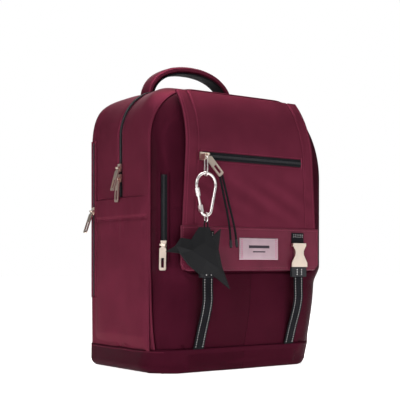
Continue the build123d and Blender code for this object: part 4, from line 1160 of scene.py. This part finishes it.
class BACKPACK_OT_zips(bpy.types.Operator):
    """Zips: woven tapes, coil teeth and sewn edges of the main, laptop, front and flap zips"""

    bl_idname = "backpack.zips"
    bl_label = "Zips"

    def execute(self, context):
        self.main_zip()
        self.side_zip("laptop", (-1, 0, 0), (0, 1, 0))
        self.side_zip("front", (-0.8192, -0.5736, 0), (0.5736, -0.8192, 0))
        self.flap_zip()
        return {"FINISHED"}

    @staticmethod
    def main_zip():
        """The main zip: a strip of the bag's section, a little below the cloth, from hem to hem."""
        start = float(side_s(TAPE_LOW.z - 12 * MM, ZIP_Y))
        s = np.linspace(start, 1 - start, 400)
        t = np.linspace(-1, 1, 13)
        y = ZIP_Y + t * (ZIP_HALF + 1 * MM)
        yy, ss = np.meshgrid(y, s, indexing="ij")
        grid = section(np.full_like(yy, ZIP_Y), ss, -0.9 * MM)
        grid[..., 1] = yy
        zip_tape("main_tape", grid, "bag", ["main_zip_tape"])
        line = section(np.full_like(s, ZIP_Y), s, -0.5 * MM)
        pair = np.stack([np.full_like(s, ZIP_Y), np.full_like(s, ZIP_Y + 1 * MM)])
        out = normals_of(section(pair, np.stack([s, s])))[0]
        zip_teeth("main_coil", line, out, "bag", ["main_zip_coil"])
        for name, shift in (("front", -ZIP_HALF - 2.2 * MM), ("rear", ZIP_HALF + 2.2 * MM)):
            edge = section(np.full_like(s, ZIP_Y + shift), s, 0.5 * MM)
            sew(f"main_zip_{name}_stitching", edge[12:-12], (0.02, 0, 1), "bag", "upper_nylon")

    @staticmethod
    def side_zip(kind, normal, across):
        """A straight upright zip on the side of the bag, framed by two welts of cloth."""
        low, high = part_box(kind + "_zip_coil")
        tape_low, tape_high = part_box(kind + "_zip_tape")
        normal, across = np.array(normal), np.array(across)
        middle = np.array(spot(kind + "_zip_coil"))
        if kind == "laptop":
            face = np.array([low.x - 0.2 * MM, middle[1], 0])
        else:
            face = np.array([middle[0], middle[1], 0]) + normal * 0.9 * MM
        z = np.linspace(tape_low.z, tape_high.z, 80)
        tape_half, welt_width, welt_at = (3.6, 6.0, 4.9) if kind == "laptop" else (5.2, 3.2, 6.4)
        t = np.linspace(-1, 1, 11) * tape_half * MM
        tt, zz = np.meshgrid(t, z, indexing="ij")
        grid = face + across * tt[..., None] + np.array([0, 0, 1.0]) * zz[..., None] + normal * 0.3 * MM
        flip = np.dot(np.cross(across, [0, 0, 1]), normal) < 0
        zip_tape(kind + "_tape", grid, "bag", [kind + "_zip_tape"], flip)
        line = (face + normal * 0.8 * MM) + np.linspace(low.z, high.z, 40)[:, None] * np.array([0, 0, 1.0])
        zip_teeth(kind + "_coil", line, normal, "bag", [kind + "_zip_coil"])
        for name, sign in (("fore", -1), ("aft", 1)):
            rise = np.linspace(tape_low.z - 3 * MM, tape_high.z + 3 * MM, 60)[:, None] * np.array([0, 0, 1.0])
            path = (face + across * sign * welt_at * MM + normal * 0.4 * MM) + rise
            outline = flat_outline(welt_width * MM, 2.4 * MM)
            welt = add_tube(f"{kind}_zip_{name}_welt", path, outline, up=tuple(normal))
            finish_piece(welt, "bag", finish_of("upper" if kind == "laptop" else "lower"))

    @staticmethod
    def flap_zip():
        """The flap's own zip: a tape let into the flap, its teeth, end stops, and rows of stitches."""
        low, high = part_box("flap_zip_tape")
        front = low.y - 0.15 * MM
        x = np.linspace(low.x, high.x, 80)
        z = np.linspace(low.z, high.z, 13)
        xx, zz = np.meshgrid(x, z, indexing="ij")
        ridge = 0.2 * MM * bump(zz - (low.z + high.z) / 2, 1.5 * MM)
        grid = np.stack([xx, np.full_like(xx, front) + ridge, zz], -1)
        zip_tape("flap_tape", grid, "flap", ["flap_zip_tape"])
        coil_low, coil_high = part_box("flap_zip_coil")
        middle = (coil_low + coil_high) / 2
        line = [(coil_low.x, front - 0.1 * MM, middle.z), (coil_high.x, front - 0.1 * MM, middle.z)]
        zip_teeth("flap_coil", line, (0, -1, 0), "flap", ["flap_zip_coil"], 1.1 * MM)
        for name, shift in (("top", 2.4 * MM), ("low", -2.4 * MM)):
            z_at = (high.z if name == "top" else low.z) + shift
            path = [(low.x, front + 0.25 * MM, z_at), (high.x, front + 0.25 * MM, z_at)]
            sew(f"flap_zip_{name}_stitching", path, (0, -1, 0), "flap", "upper_nylon")
        for name, x_at in (("start", low.x), ("end", high.x)):
            path = [(x_at, front, low.z - 1 * MM), (x_at, front, high.z + 1 * MM)]
            outline = flat_outline(1.8 * MM, 1.2 * MM)
            obj = add_tube(f"flap_zip_{name}_tack", resample(path, 1 * MM), outline, up=(0, -1, 0))
            finish_piece(obj, "flap", finish_of("thread"))


# ---------------------------------------------------------------------------
# Hardware, charm and cords
# ---------------------------------------------------------------------------
class BACKPACK_OT_hardware(bpy.types.Operator):
    """Hardware: finishes for the sliders, pulls, buckles, rings, carabiner and inner panels"""

    bl_idname = "backpack.hardware"
    bl_label = "Hardware finishes"

    def execute(self, context):
        kinds = {
            "champagne": ["main_upper_slider", "main_upper_pull", "main_lower_slider", "main_lower_pull",
                          "laptop_slider", "laptop_pull", "front_slider", "front_pull", "flap_slider",
                          "flap_pull", "left_buckle_cover", "right_buckle_cover"],
            "steel": ["hang_ring", "carabiner_body", "gate_pin", "carabiner_gate", "gate_sleeve", "charm_ring"],
            "plastic": ["left_buckle_prong", "right_buckle_prong", "left_ladder_lock", "right_ladder_lock"],
            "foam": ["back_foam", "base_board"],
            "lining": ["laptop_divider"],
        }
        for kind, names in kinds.items():
            for name in names:
                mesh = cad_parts[name].data
                mesh.materials.clear()
                mesh.materials.append(finish_of(kind))
        self.sleeve_grip()
        for side, _ in SIDES:
            self.keeper_marks(side)
        return {"FINISHED"}

    @staticmethod
    def sleeve_grip():
        """Grip rings round the carabiner's lock sleeve: thin tubes round its own line."""
        low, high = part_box("gate_sleeve")
        middle = np.array((low + high) / 2)
        way = np.array([0.2241, 0, -0.9746])
        across = np.array([0.9746, 0, 0.2241])
        radius = (high.y - low.y) / 2
        angle = np.linspace(0, 2 * pi, 36, endpoint=False)
        for index, shift in enumerate(np.linspace(-3.2, 3.2, 5) * MM):
            path = middle + way * shift + (radius - 0.1 * MM) * (
                np.cos(angle)[:, None] * across + np.sin(angle)[:, None] * np.array([0, 1, 0]))
            obj = add_tube(f"sleeve_grip_{index}", path, round_outline(0.35 * MM, 8), closed=True, up=tuple(way))
            finish_piece(obj, "gate_sleeve", finish_of("steel"))

    @staticmethod
    def keeper_marks(side):
        """Two pale bar tacks where the lower strap is sewn round the keeper."""
        low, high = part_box(side + "_buckle_prong")
        x = (low.x + high.x) / 2
        for row, shift in enumerate((-4.5 * MM, 4.5 * MM)):
            path = [(x + shift, low.y - 0.1 * MM, low.z + rise) for rise in (4 * MM, 11 * MM)]
            sew(f"{side}_keeper_mark_{row}", path, (0, -1, 0), side + "_prong", "black_plastic",
                "silver_thread", 2.2 * MM, 2.0 * MM, 1.6 * MM)


BIRD_OUTLINE = [
    (-72, -44), (-56, -36), (-46, -24), (-28, -26), (-14, -8), (-4, -8), (4, -8), (8, -22), (24, -10),
    (20, -40), (26, -64), (41, -98), (8, -76), (-14, -76), (-34, -62), (-48, -46),
]
BIRD_RIDGES = [(-50, -37), (-30, -42), (-8, -30), (10, -42), (-4, -56), (18, -68)]


class BACKPACK_OT_charm(bpy.types.Operator):
    """Charm: a plain folded-looking bird in matte leather, hung by an eyelet"""

    bl_idname = "backpack.charm"
    bl_label = "Bird charm"

    def execute(self, context):
        """Flat facets: an outline ring, its thinner edge, and a few raised ridge points, front and back."""
        low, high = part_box("bird_charm")
        outline = np.array(BIRD_OUTLINE, float) * MM
        shift_x = low.x - outline[:, 0].min()
        shift_z = low.z - outline[:, 1].min()
        ridges = np.array(BIRD_RIDGES, float) * MM
        middle = low.y + 5 * MM
        points = [Vector(p) for p in np.concatenate([outline, ridges])]
        rim = [(i, (i + 1) % len(outline)) for i in range(len(outline))]
        found = delaunay_2d_cdt(points, rim, [], 1, 1e-7)
        flat_points = np.array([list(p) for p in found[0]])
        faces = [list(face) for face in found[2]]
        count = len(flat_points)
        origin = [ids[0] if ids else -1 for ids in found[3]]
        raised = np.array([o >= len(outline) for o in origin])
        lift = np.where(raised, 5 * MM, 1.4 * MM)
        x, z = flat_points[:, 0] + shift_x, flat_points[:, 1] + shift_z
        fore = np.stack([x, middle - lift, z], -1)
        aft = np.stack([x, middle + np.where(raised, 3.6 * MM, 1.4 * MM), z], -1)
        areas = [np.cross(fore[f[1]] - fore[f[0]], fore[f[2]] - fore[f[0]])[1] for f in faces]
        fore_faces = [f if a < 0 else f[::-1] for f, a in zip(faces, areas)]
        aft_faces = [[i + count for i in f[::-1]] for f in fore_faces]
        place = {o: i for i, o in enumerate(origin)}
        loop = [place[i] for i in range(len(outline))]
        turn = sum(fore[a][0] * fore[b][2] - fore[b][0] * fore[a][2]
                   for a, b in zip(loop, loop[1:] + loop[:1]))
        loop = loop if turn > 0 else loop[::-1]
        sides = [[b, a, a + count, b + count] for a, b in zip(loop, loop[1:] + loop[:1])]
        faces = fore_faces + aft_faces + sides
        obj = add_mesh("bird_charm_leather", np.concatenate([fore, aft]), faces, None, False)
        edge = obj.modifiers.new("edge", "BEVEL")
        edge.width, edge.segments = 0.45 * MM, 2
        edge.limit_method, edge.angle_limit = "ANGLE", radians(12)
        finish_piece(obj, "charm", finish_of("charm"), ["bird_charm"])
        self.eyelet(spot("hang_ring").x, high.z)
        return {"FINISHED"}

    @staticmethod
    def eyelet(x, top):
        """The eyelet: a loop of round leather cord above the bird's back, through the ring."""
        angle = np.linspace(0, 2 * pi, 40, endpoint=False)
        y = spot("charm_ring").y
        height, reach = 8.0 * MM, 3.2 * MM
        centre = top - height / 2 - 1.2 * MM
        z = centre - 2.6 * MM + (height / 2 + 2 * MM) * np.cos(angle)
        path = np.stack([x + reach * np.sin(angle), np.full_like(angle, y), z], -1)
        obj = add_tube("bird_eyelet_loop", path, round_outline(1.1 * MM, 10), closed=True, up=(0, 1, 0))
        finish_piece(obj, "charm", finish_of("charm"))


INNER_CORD = [(-69.9, 290.9), (-66.2, 276.0), (-60.2, 252.0), (-54.0, 228.0), (-50.4, 206.0), (-49.6, 186.0)]
OUTER_CORD = [(-65.9, 293.1), (-61.0, 278.5), (-54.2, 254.0), (-46.4, 229.5), (-40.8, 207.5), (-38.0, 187.0)]
CORD_Y = -143.8
CORD_DIAMETER = 3.4 * MM


class BACKPACK_OT_cords(bpy.types.Operator):
    """Pull cords: two limp round cords from the flap's pull, with a sleeve near each free end"""

    bl_idname = "backpack.cords"
    bl_label = "Pull cords"

    def execute(self, context):
        for name, points, length in (("inner", INNER_CORD, 0.107), ("outer", OUTER_CORD, 0.110)):
            route = [Vector((x * MM, CORD_Y * MM, z * MM)) for x, z in points]
            curve = bpy.data.curves.new(name + "_cord", "CURVE")
            curve.dimensions = "3D"
            curve.bevel_depth = CORD_DIAMETER / 2
            curve.bevel_resolution = 3
            curve.use_fill_caps = True
            curve.resolution_u = 12
            spline = curve.splines.new("NURBS")
            spline.points.add(len(route) - 1)
            spline.points.foreach_set("co", [value for point in route for value in (*point, 1)])
            spline.order_u = 3
            spline.use_endpoint_u = True
            obj = bpy.data.objects.new(name + "_cord", curve)
            bpy.context.scene.collection.objects.link(obj)
            finish_piece(obj, "flap_pull", finish_of("cord"), [name + "_pull_cord"])
            tip = self.tip(name, route)
        return {"FINISHED"}

    @staticmethod
    def tip(name, route):
        """A heat-shrunk sleeve near the free end: a tube whose radius swells and rolls in at its ends."""
        way = (route[-1] - route[-2]).normalized()
        start = route[-1] - way * 12 * MM
        t = np.linspace(0, 1, 14)
        angle = np.linspace(0, 2 * pi, 20, endpoint=False)
        radius = CORD_DIAMETER / 2 + 0.5 * MM * np.clip(np.sin(pi * np.clip(t, 0.02, 0.98)) * 3, 0, 1)
        way, across = np.array(way), np.array(way.cross(Vector((0, 1, 0))).normalized())
        third = np.cross(way, across)
        middle = np.array(start) + way * (t[:, None] * 11 * MM)
        grid = middle[:, None] + radius[:, None, None] * (
            np.cos(angle)[None, :, None] * across + np.sin(angle)[None, :, None] * third)
        nu, nv = grid.shape[:2]
        faces = grid_faces(nu, nv, wrap_v=True).tolist()
        faces += [list(range(nv))[::-1], [(nu - 1) * nv + i for i in range(nv)]]
        obj = add_mesh(name + "_cord_tip", grid, faces)
        return finish_piece(obj, "flap_pull", finish_of("plastic"))


# ---------------------------------------------------------------------------
# Padded pieces
# ---------------------------------------------------------------------------
def plump(obj, voxel=5 * MM, pressure=4.0, cap=3 * MM):
    """Swells a closed pad: remesh, a short cloth run under pressure, and a cap on how far it moves."""
    scene = bpy.context.scene
    remesh = obj.modifiers.new("even", "REMESH")
    remesh.mode, remesh.voxel_size, remesh.use_smooth_shade = "VOXEL", voxel, True
    bake(obj)
    count = len(obj.data.vertices)
    before = np.zeros(count * 3)
    obj.data.vertices.foreach_get("co", before)
    cloth = obj.modifiers.new("cloth", "CLOTH")
    cloth.settings.use_pressure = True
    cloth.settings.uniform_pressure_force = pressure
    cloth.settings.effector_weights.gravity = 0
    cloth.point_cache.frame_start, cloth.point_cache.frame_end = 1, 20
    for frame_number in range(1, 21):
        scene.frame_set(frame_number)
    bake(obj)
    scene.frame_set(1)
    after = np.zeros(count * 3)
    obj.data.vertices.foreach_get("co", after)
    move = (after - before).reshape(-1, 3)
    length = np.linalg.norm(move, axis=1, keepdims=True)
    move *= np.minimum(1, cap / np.maximum(length, 1e-9))
    obj.data.vertices.foreach_set("co", (before.reshape(-1, 3) + move).ravel())
    obj.data.update()
    return obj


def bake(obj):
    """Applies every modifier of an object to its mesh."""
    graph = bpy.context.evaluated_depsgraph_get()
    mesh = bpy.data.meshes.new_from_object(obj.evaluated_get(graph))
    old = obj.data
    obj.modifiers.clear()
    obj.data = mesh
    bpy.data.meshes.remove(old)


def settle(obj):
    """One subdivision with equal levels for the view and the render."""
    finer = obj.modifiers.new("finer", "SUBSURF")
    finer.levels = finer.render_levels = 1
    return obj


def cushion(name, width_at, path, outward, thickness, across, rows, cols, crown):
    """A closed pad along a path.

    Across it the thickness follows a superellipse, so the edges are rolled;
    width_at gives its half width at each row.
    """
    reach = np.linspace(0, 1, rows)
    middle, out = spread(path, reach), spread(outward, reach)
    angle = np.linspace(0, 2 * pi, cols * 2, endpoint=False)
    side, face = squarer(np.cos(angle), crown), squarer(np.sin(angle), crown)
    half = width_at(reach)
    taper = np.sqrt(np.clip(1 - (1 - np.minimum(np.minimum(reach, 1 - reach) / 0.03, 1)) ** 2, 0.15, 1))
    grid = (middle[:, None] + np.asarray(across, float) * (side[None] * half[:, None])[..., None]
            + out[:, None] * (face[None] * taper[:, None] * thickness / 2)[..., None])
    return outward_faces(add_capped(name, grid))


def outward_faces(obj):
    """Turns every face of a closed mesh outwards."""
    work = bmesh.new()
    work.from_mesh(obj.data)
    bmesh.ops.recalc_face_normals(work, faces=work.faces)
    work.to_mesh(obj.data)
    work.free()
    return obj


class BACKPACK_OT_handle(bpy.types.Operator):
    """Carry handle: a padded arch of cloth with a black webbing underside and stitched edges"""

    bl_idname = "backpack.handle"
    bl_label = "Carry handle"

    def execute(self, context):
        low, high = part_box("handle_grip")
        foot = CROWN_Z - 6 * MM
        y = (low.y + high.y) / 2
        thick = 9 * MM
        reach = (high.x - low.x) / 2 - thick / 2
        rise = high.z - foot - thick / 2
        angle = np.linspace(0, pi, 160)
        power = 2 / 2.2
        path = np.stack([
            -reach * squarer(np.cos(angle), power),
            np.full_like(angle, y),
            foot + rise * np.abs(np.sin(angle)) ** power], -1)
        path = resample(path, 1.5 * MM)
        out = np.cross(heading(path), [0.0, 1.0, 0.0])
        out = out * np.sign(out[len(out) // 2, 2])
        turn = np.linspace(0, 2 * pi, 40, endpoint=False)
        width = high.y - low.y
        side = squarer(np.cos(turn), 0.55) * width / 2
        face = squarer(np.sin(turn), 0.75) * thick / 2
        swollen = 1 + 0.10 * np.sin(np.linspace(0, pi, len(path)))
        face = face[None] * np.where(face[None] > 0, 1.15, 0.95) * swollen[:, None]
        grid = path[:, None] + np.array([0, 1.0, 0]) * side[None, :, None] + out[:, None] * face[..., None]
        pucker = ripple(grid, (9 * MM, 30 * MM, 9 * MM)) * 0.35 * MM
        grid = grid + out[:, None] * pucker[..., None]
        self.closed("handle_cloth", grid, "upper", "upper_nylon", ["handle_grip"])
        under = path - out * (thick / 2 + 1.3 * MM)
        face = squarer(np.sin(turn), 0.6) * 1.5 * MM
        grid = (under[:, None] + np.array([0, 1.0, 0]) * side[None, :, None] * 0.92
                + out[:, None] * face[None, :, None])
        self.closed("handle_webbing", grid[6:-6], "webbing", "webbing", ["handle_underside"])
        for name, shift in (("front", -0.36), ("rear", 0.36)):
            line = path + [0, shift * width, 0] + out * thick * 0.54
            sew(f"handle_{name}_stitching", line[10:-10], (0, 0, 1), "bag", "upper_nylon")
        return {"FINISHED"}

    @staticmethod
    def closed(name, grid, kind, slot, nodes):
        """A capped tube with its faces outwards."""
        obj = outward_faces(add_capped(name, grid))
        return finish_piece(obj, "bag", finish_of(kind), nodes)


class BACKPACK_OT_back(bpy.types.Operator):
    """Back: the padded mesh panel with sewn channels, the trolley sleeve, and the strap yoke"""

    bl_idname = "backpack.back"
    bl_label = "Back panel"

    def execute(self, context):
        self.pad()
        self.sleeve()
        self.yoke()
        return {"FINISHED"}

    @staticmethod
    def pad():
        """The back pad: three crowned lobes parted by sewn channels, with rolled edges."""
        low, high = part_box("back_pad")
        x = paced(low.x, high.x, 110, 0.4)
        z = paced(low.z, high.z, 150, 0.4)
        xx, zz = np.meshgrid(x, z, indexing="ij")
        rim = np.minimum(np.minimum(xx - low.x, high.x - xx), np.minimum(zz - low.z, high.z - zz))
        roll = roll_over(rim, 9 * MM)
        channel = bump(xx, 7 * MM)
        for share in (0.36, 0.68):
            channel = channel + bump(zz - (low.z + share * (high.z - low.z)), 5 * MM)
        radius = 24 * MM
        corner = np.hypot(
            np.clip(radius - (xx - low.x), 0, None) + np.clip(radius - (high.x - xx), 0, None),
            np.clip(radius - (zz - low.z), 0, None) + np.clip(radius - (high.z - zz), 0, None))
        scale = np.where(corner > radius, radius / np.maximum(corner, 1e-9), 1)
        x_in = np.where(xx > 0, high.x - radius, low.x + radius)
        z_in = np.where(zz > (low.z + high.z) / 2, high.z - radius, low.z + radius)
        px = np.where(corner > radius, x_in + (xx - x_in) * scale, xx)
        pz = np.where(corner > radius, z_in + (zz - z_in) * scale, zz)
        height = 0.8 * MM + (high.y - low.y - 0.8 * MM) * roll - 4.6 * MM * np.clip(channel, 0, 1) * roll
        height += 0.5 * MM * ripple(np.stack([px, 0 * px, pz], -1), (40 * MM, 40 * MM, 50 * MM)) * roll
        outer = np.stack([px, low.y + height, pz], -1)
        inner = np.stack([px, np.full_like(px, low.y + 0.1 * MM), pz], -1)
        obj = add_solid_grid("back_pad_mesh", outer, inner, flip=True)
        plump(obj, 4.5 * MM, 2.0, 1.2 * MM)
        settle(finish_piece(obj, "bag", finish_of("mesh"), ["back_pad"]))

    @staticmethod
    def sleeve():
        """The trolley sleeve: a flat band of cloth that stands off the pad and is sewn at both sides."""
        low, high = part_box("trolley_sleeve")
        u = paced(-1, 1, 120, 0.5)
        z = np.linspace(low.z, high.z, 60)
        uu, zz = np.meshgrid(u, z, indexing="ij")
        half = (high.x - low.x) / 2
        drop = np.clip((np.abs(uu) - 0.9) / 0.1, 0, 1)
        depth = (high.y - 1.2 * MM) - (high.y - low.y - 2.4 * MM) * (1 - np.sqrt(np.clip(1 - drop**2, 0, 1)))
        at = np.stack([uu * half, depth, zz], -1)
        depth = depth + 0.6 * MM * ripple(at, (50 * MM, 50 * MM, 30 * MM)) * (1 - drop)
        outer = np.stack([uu * half, depth + 0.9 * MM, zz], -1)
        inner = np.stack([uu * (half - 1.2 * MM), depth - 0.9 * MM, zz], -1)
        obj = add_solid_grid("trolley_sleeve_cloth", outer, inner, flip=True)
        finish_piece(obj, "bag", finish_of("lower"), ["trolley_sleeve"])
        for name, z_at in (("low", low.z + 5 * MM), ("top", high.z - 5 * MM)):
            path = np.stack([u[12:-12] * half, np.full(96, high.y + 0.1 * MM), np.full(96, z_at)], -1)
            sew(f"sleeve_{name}_stitching", path, (0, 1, 0), "bag", "lower_nylon")

    @staticmethod
    def yoke():
        """The yoke: a low padded bar that the straps are sewn under."""
        low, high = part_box("strap_yoke")
        middle = (low + high) / 2
        path = [(low.x, middle.y, middle.z), (high.x, middle.y, middle.z)]
        half = (high.z - low.z) / 2
        obj = cushion("yoke_cloth", lambda t: np.full_like(t, half), path, (0, 1, 0), high.y - low.y,
                      (0, 0, 1), 80, 16, 0.6)
        finish_piece(obj, "bag", finish_of("upper"), ["strap_yoke"])


class BACKPACK_OT_shoulder_straps(bpy.types.Operator):
    """Shoulder straps: padded, curved, with webbing tails and corner tabs"""

    bl_idname = "backpack.shoulder_straps"
    bl_label = "Shoulder straps"

    def execute(self, context):
        for side, sign in SIDES:
            self.strap(side, sign)
            self.tail(side)
        return {"FINISHED"}

    @staticmethod
    def strap(side, sign):
        """A pad along a smooth line past the strap's eight places, wider in its middle."""
        places = np.array([(52, 102, 398), (52, 124, 399), (54, 137, 380), (61, 140, 330), (66, 139, 288),
                           (78, 136, 226), (90, 133, 180), (96, 131, 150)], float) * MM
        line = spread(places, np.linspace(0, 1, 90))
        for _ in range(12):
            line[1:-1] = (line[:-2] + 2 * line[1:-1] + line[2:]) / 4
        line[:, 0] *= sign
        line = resample(line, 4 * MM)
        out = unit(np.cross([1.0, 0, 0], heading(line)))
        out = out if out[len(out) // 2, 1] > 0 else -out

        def half(t):
            return (24.5 + 4.0 * np.sin(pi * np.clip(t * 1.1 - 0.05, 0, 1))) * MM

        obj = cushion(side + "_strap_pad", half, line, out, 9.5 * MM, (1, 0, 0), len(line) * 2, 20, 0.7)
        plump(obj, 5 * MM, 2.0, 1.0 * MM)
        settle(finish_piece(obj, "bag", finish_of("lower"), [side + "_shoulder_strap"]))
        t = np.linspace(0, 1, len(line))
        for name, sway in (("inner", -1), ("outer", 1)):
            path = line + np.stack([sway * (half(t) - 5 * MM), 0 * t, 0 * t], -1) + out * 4.6 * MM
            sew(f"{side}_strap_{name}_stitching", path[4:-3], (0, 1, 0), "bag", "upper_nylon")

    @staticmethod
    def tail(side):
        """The webbing from the ladder lock to the base tab, and the tab itself."""
        tab_low, tab_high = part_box(side + "_corner_tab")
        lock = spot(side + "_ladder_lock")
        start = np.array([lock.x, lock.y, lock.z - 8 * MM])
        end = np.array([(tab_low.x + tab_high.x) / 2, tab_high.y - 1 * MM, tab_high.z - 6 * MM])
        t = np.linspace(0, 1, 40)[:, None]
        path = start + (end - start) * t + np.array([0, 0, -1.0]) * 3 * MM * np.sin(pi * t)
        obj, _, _ = BACKPACK_OT_buckle_straps.strip(side + "_tail_webbing", path, 19.5 * MM, 1.5 * MM)
        finish_piece(obj, "bag", finish_of("webbing"), [side + "_strap_webbing"])
        x = (tab_low.x + tab_high.x) / 2
        y = (tab_low.y + tab_high.y) / 2
        z = np.linspace(tab_low.z, tab_high.z, 30)
        path = np.stack([np.full_like(z, x), np.full_like(z, y), z], -1)
        outline = flat_outline(tab_high.x - tab_low.x, tab_high.y - tab_low.y)
        obj = add_tube(side + "_base_tab", path, outline, up=(0, 1, 0))
        finish_piece(obj, "bag", finish_of("webbing"), [side + "_corner_tab"])


# ---------------------------------------------------------------------------
# Stage
# ---------------------------------------------------------------------------
class BACKPACK_OT_stage(bpy.types.Operator):
    """Stage: a wide pale floor, soft lamps, and the camera"""

    bl_idname = "backpack.stage"
    bl_label = "Stage"

    def execute(self, context):
        scene = bpy.context.scene
        camera = bpy.data.objects.new("camera", bpy.data.cameras.new("camera"))
        scene.collection.objects.link(camera)
        camera.location = (-0.9045, -1.2550, 0.160)
        camera.rotation_euler = (radians(90), 0, radians(-35.7))
        camera.data.lens = 85.1
        camera.data.sensor_width = 36
        camera.data.shift_y = 0.164
        scene.camera = camera
        self.floor()
        self.lamps()
        world = bpy.data.worlds.new("studio")
        scene.world = world
        world.use_nodes = True
        tree = world.node_tree
        backdrop = tree.nodes["Background"]
        backdrop.inputs["Color"].default_value = (1, 1, 1, 1)
        backdrop.inputs["Strength"].default_value = 1.0
        soft = tree.nodes.new("ShaderNodeBackground")
        soft.inputs["Color"].default_value = (1, 1, 1, 1)
        soft.inputs["Strength"].default_value = 0.17
        path = tree.nodes.new("ShaderNodeLightPath")
        mix = tree.nodes.new("ShaderNodeMixShader")
        tree.links.new(path.outputs["Is Camera Ray"], mix.inputs["Fac"])
        tree.links.new(soft.outputs["Background"], mix.inputs[1])
        tree.links.new(backdrop.outputs["Background"], mix.inputs[2])
        tree.links.new(mix.outputs["Shader"], tree.nodes["World Output"].inputs["Surface"])
        scene.view_settings.view_transform = "Standard"
        return {"FINISHED"}

    @staticmethod
    def floor():
        """A wide pale disc: rings whose radius grows with the square of the step."""
        t = np.linspace(0, 1, 40)
        angle = np.linspace(0, 2 * pi, 97)
        tt, aa = np.meshgrid(t, angle, indexing="ij")
        radius = 0.001 + 12 * tt**2
        grid = np.stack([radius * np.cos(aa), radius * np.sin(aa), np.full_like(radius, -0.0004)], -1)
        obj = add_grid("floor", grid)
        material, _, shader = new_material("studio_floor", (0.93, 0.93, 0.93), 0.55, specular=0.2)
        shader.inputs["Emission Color"].default_value = (1, 1, 1, 1)
        shader.inputs["Emission Strength"].default_value = 0.88
        obj.data.materials.append(material)

    @staticmethod
    def lamps():
        """Soft square lamps: a key from the camera's left, one above, a weak fill, and one behind."""
        for name, place, aim, size, power in (
            ("key", (-2.1, -1.3, 1.6), (0, -0.05, 0.25), 1.3, 30),
            ("top", (0.1, 0.1, 1.9), (0, 0, 0.3), 1.5, 46),
            ("fill", (1.9, -1.6, 0.9), (0, 0, 0.2), 1.2, 4),
            ("rear", (0.6, 2.0, 1.3), (0, 0, 0.2), 1.4, 8),
        ):
            data = bpy.data.lights.new(name, "AREA")
            data.size, data.energy = size, power
            lamp = bpy.data.objects.new(name, data)
            lamp.location = place
            lamp.rotation_euler = (Vector(aim) - Vector(place)).to_track_quat("-Z", "Y").to_euler()
            bpy.context.scene.collection.objects.link(lamp)


class BACKPACK_PT_panel(bpy.types.Panel):
    """Lists the sizes, colours and pieces"""

    bl_label = "Travel backpack"
    bl_idname = "BACKPACK_PT_panel"
    bl_space_type = "VIEW_3D"
    bl_region_type = "UI"
    bl_category = "Backpack"

    def draw(self, context):
        column = self.layout.column()
        for group in (context.scene.backpack_sizes, context.scene.backpack_colours):
            for name in group.bl_rna.properties.keys():
                if name not in ("rna_type", "name"):
                    column.prop(group, name)
        for operator in OPERATORS:
            column.operator(operator.bl_idname)


OPERATORS = (
    BACKPACK_OT_stage,
    BACKPACK_OT_cords,
    BACKPACK_OT_main_body,
    BACKPACK_OT_front_compartment,
    BACKPACK_OT_base,
    BACKPACK_OT_side_pockets,
    BACKPACK_OT_flap,
    BACKPACK_OT_band,
    BACKPACK_OT_buckle_straps,
    BACKPACK_OT_zips,
    BACKPACK_OT_hardware,
    BACKPACK_OT_charm,
    BACKPACK_OT_handle,
    BACKPACK_OT_back,
    BACKPACK_OT_shoulder_straps,
)
CLASSES = (BackpackColours, BackpackSizes) + OPERATORS + (BACKPACK_PT_panel,)


def register():
    """Adds the classes, and the sizes and colours on the scene."""
    for item in CLASSES:
        bpy.utils.register_class(item)
    bpy.types.Scene.backpack_colours = PointerProperty(type=BackpackColours)
    bpy.types.Scene.backpack_sizes = PointerProperty(type=BackpackSizes)


def unregister():
    """Takes away what register adds."""
    del bpy.types.Scene.backpack_sizes
    del bpy.types.Scene.backpack_colours
    for item in reversed(CLASSES):
        bpy.utils.unregister_class(item)


def main():
    """Makes every piece in order."""
    register()
    for operator in OPERATORS:
        space, name = operator.bl_idname.split(".")
        getattr(getattr(bpy.ops, space), name)()


if __name__ == "__main__":
    main()
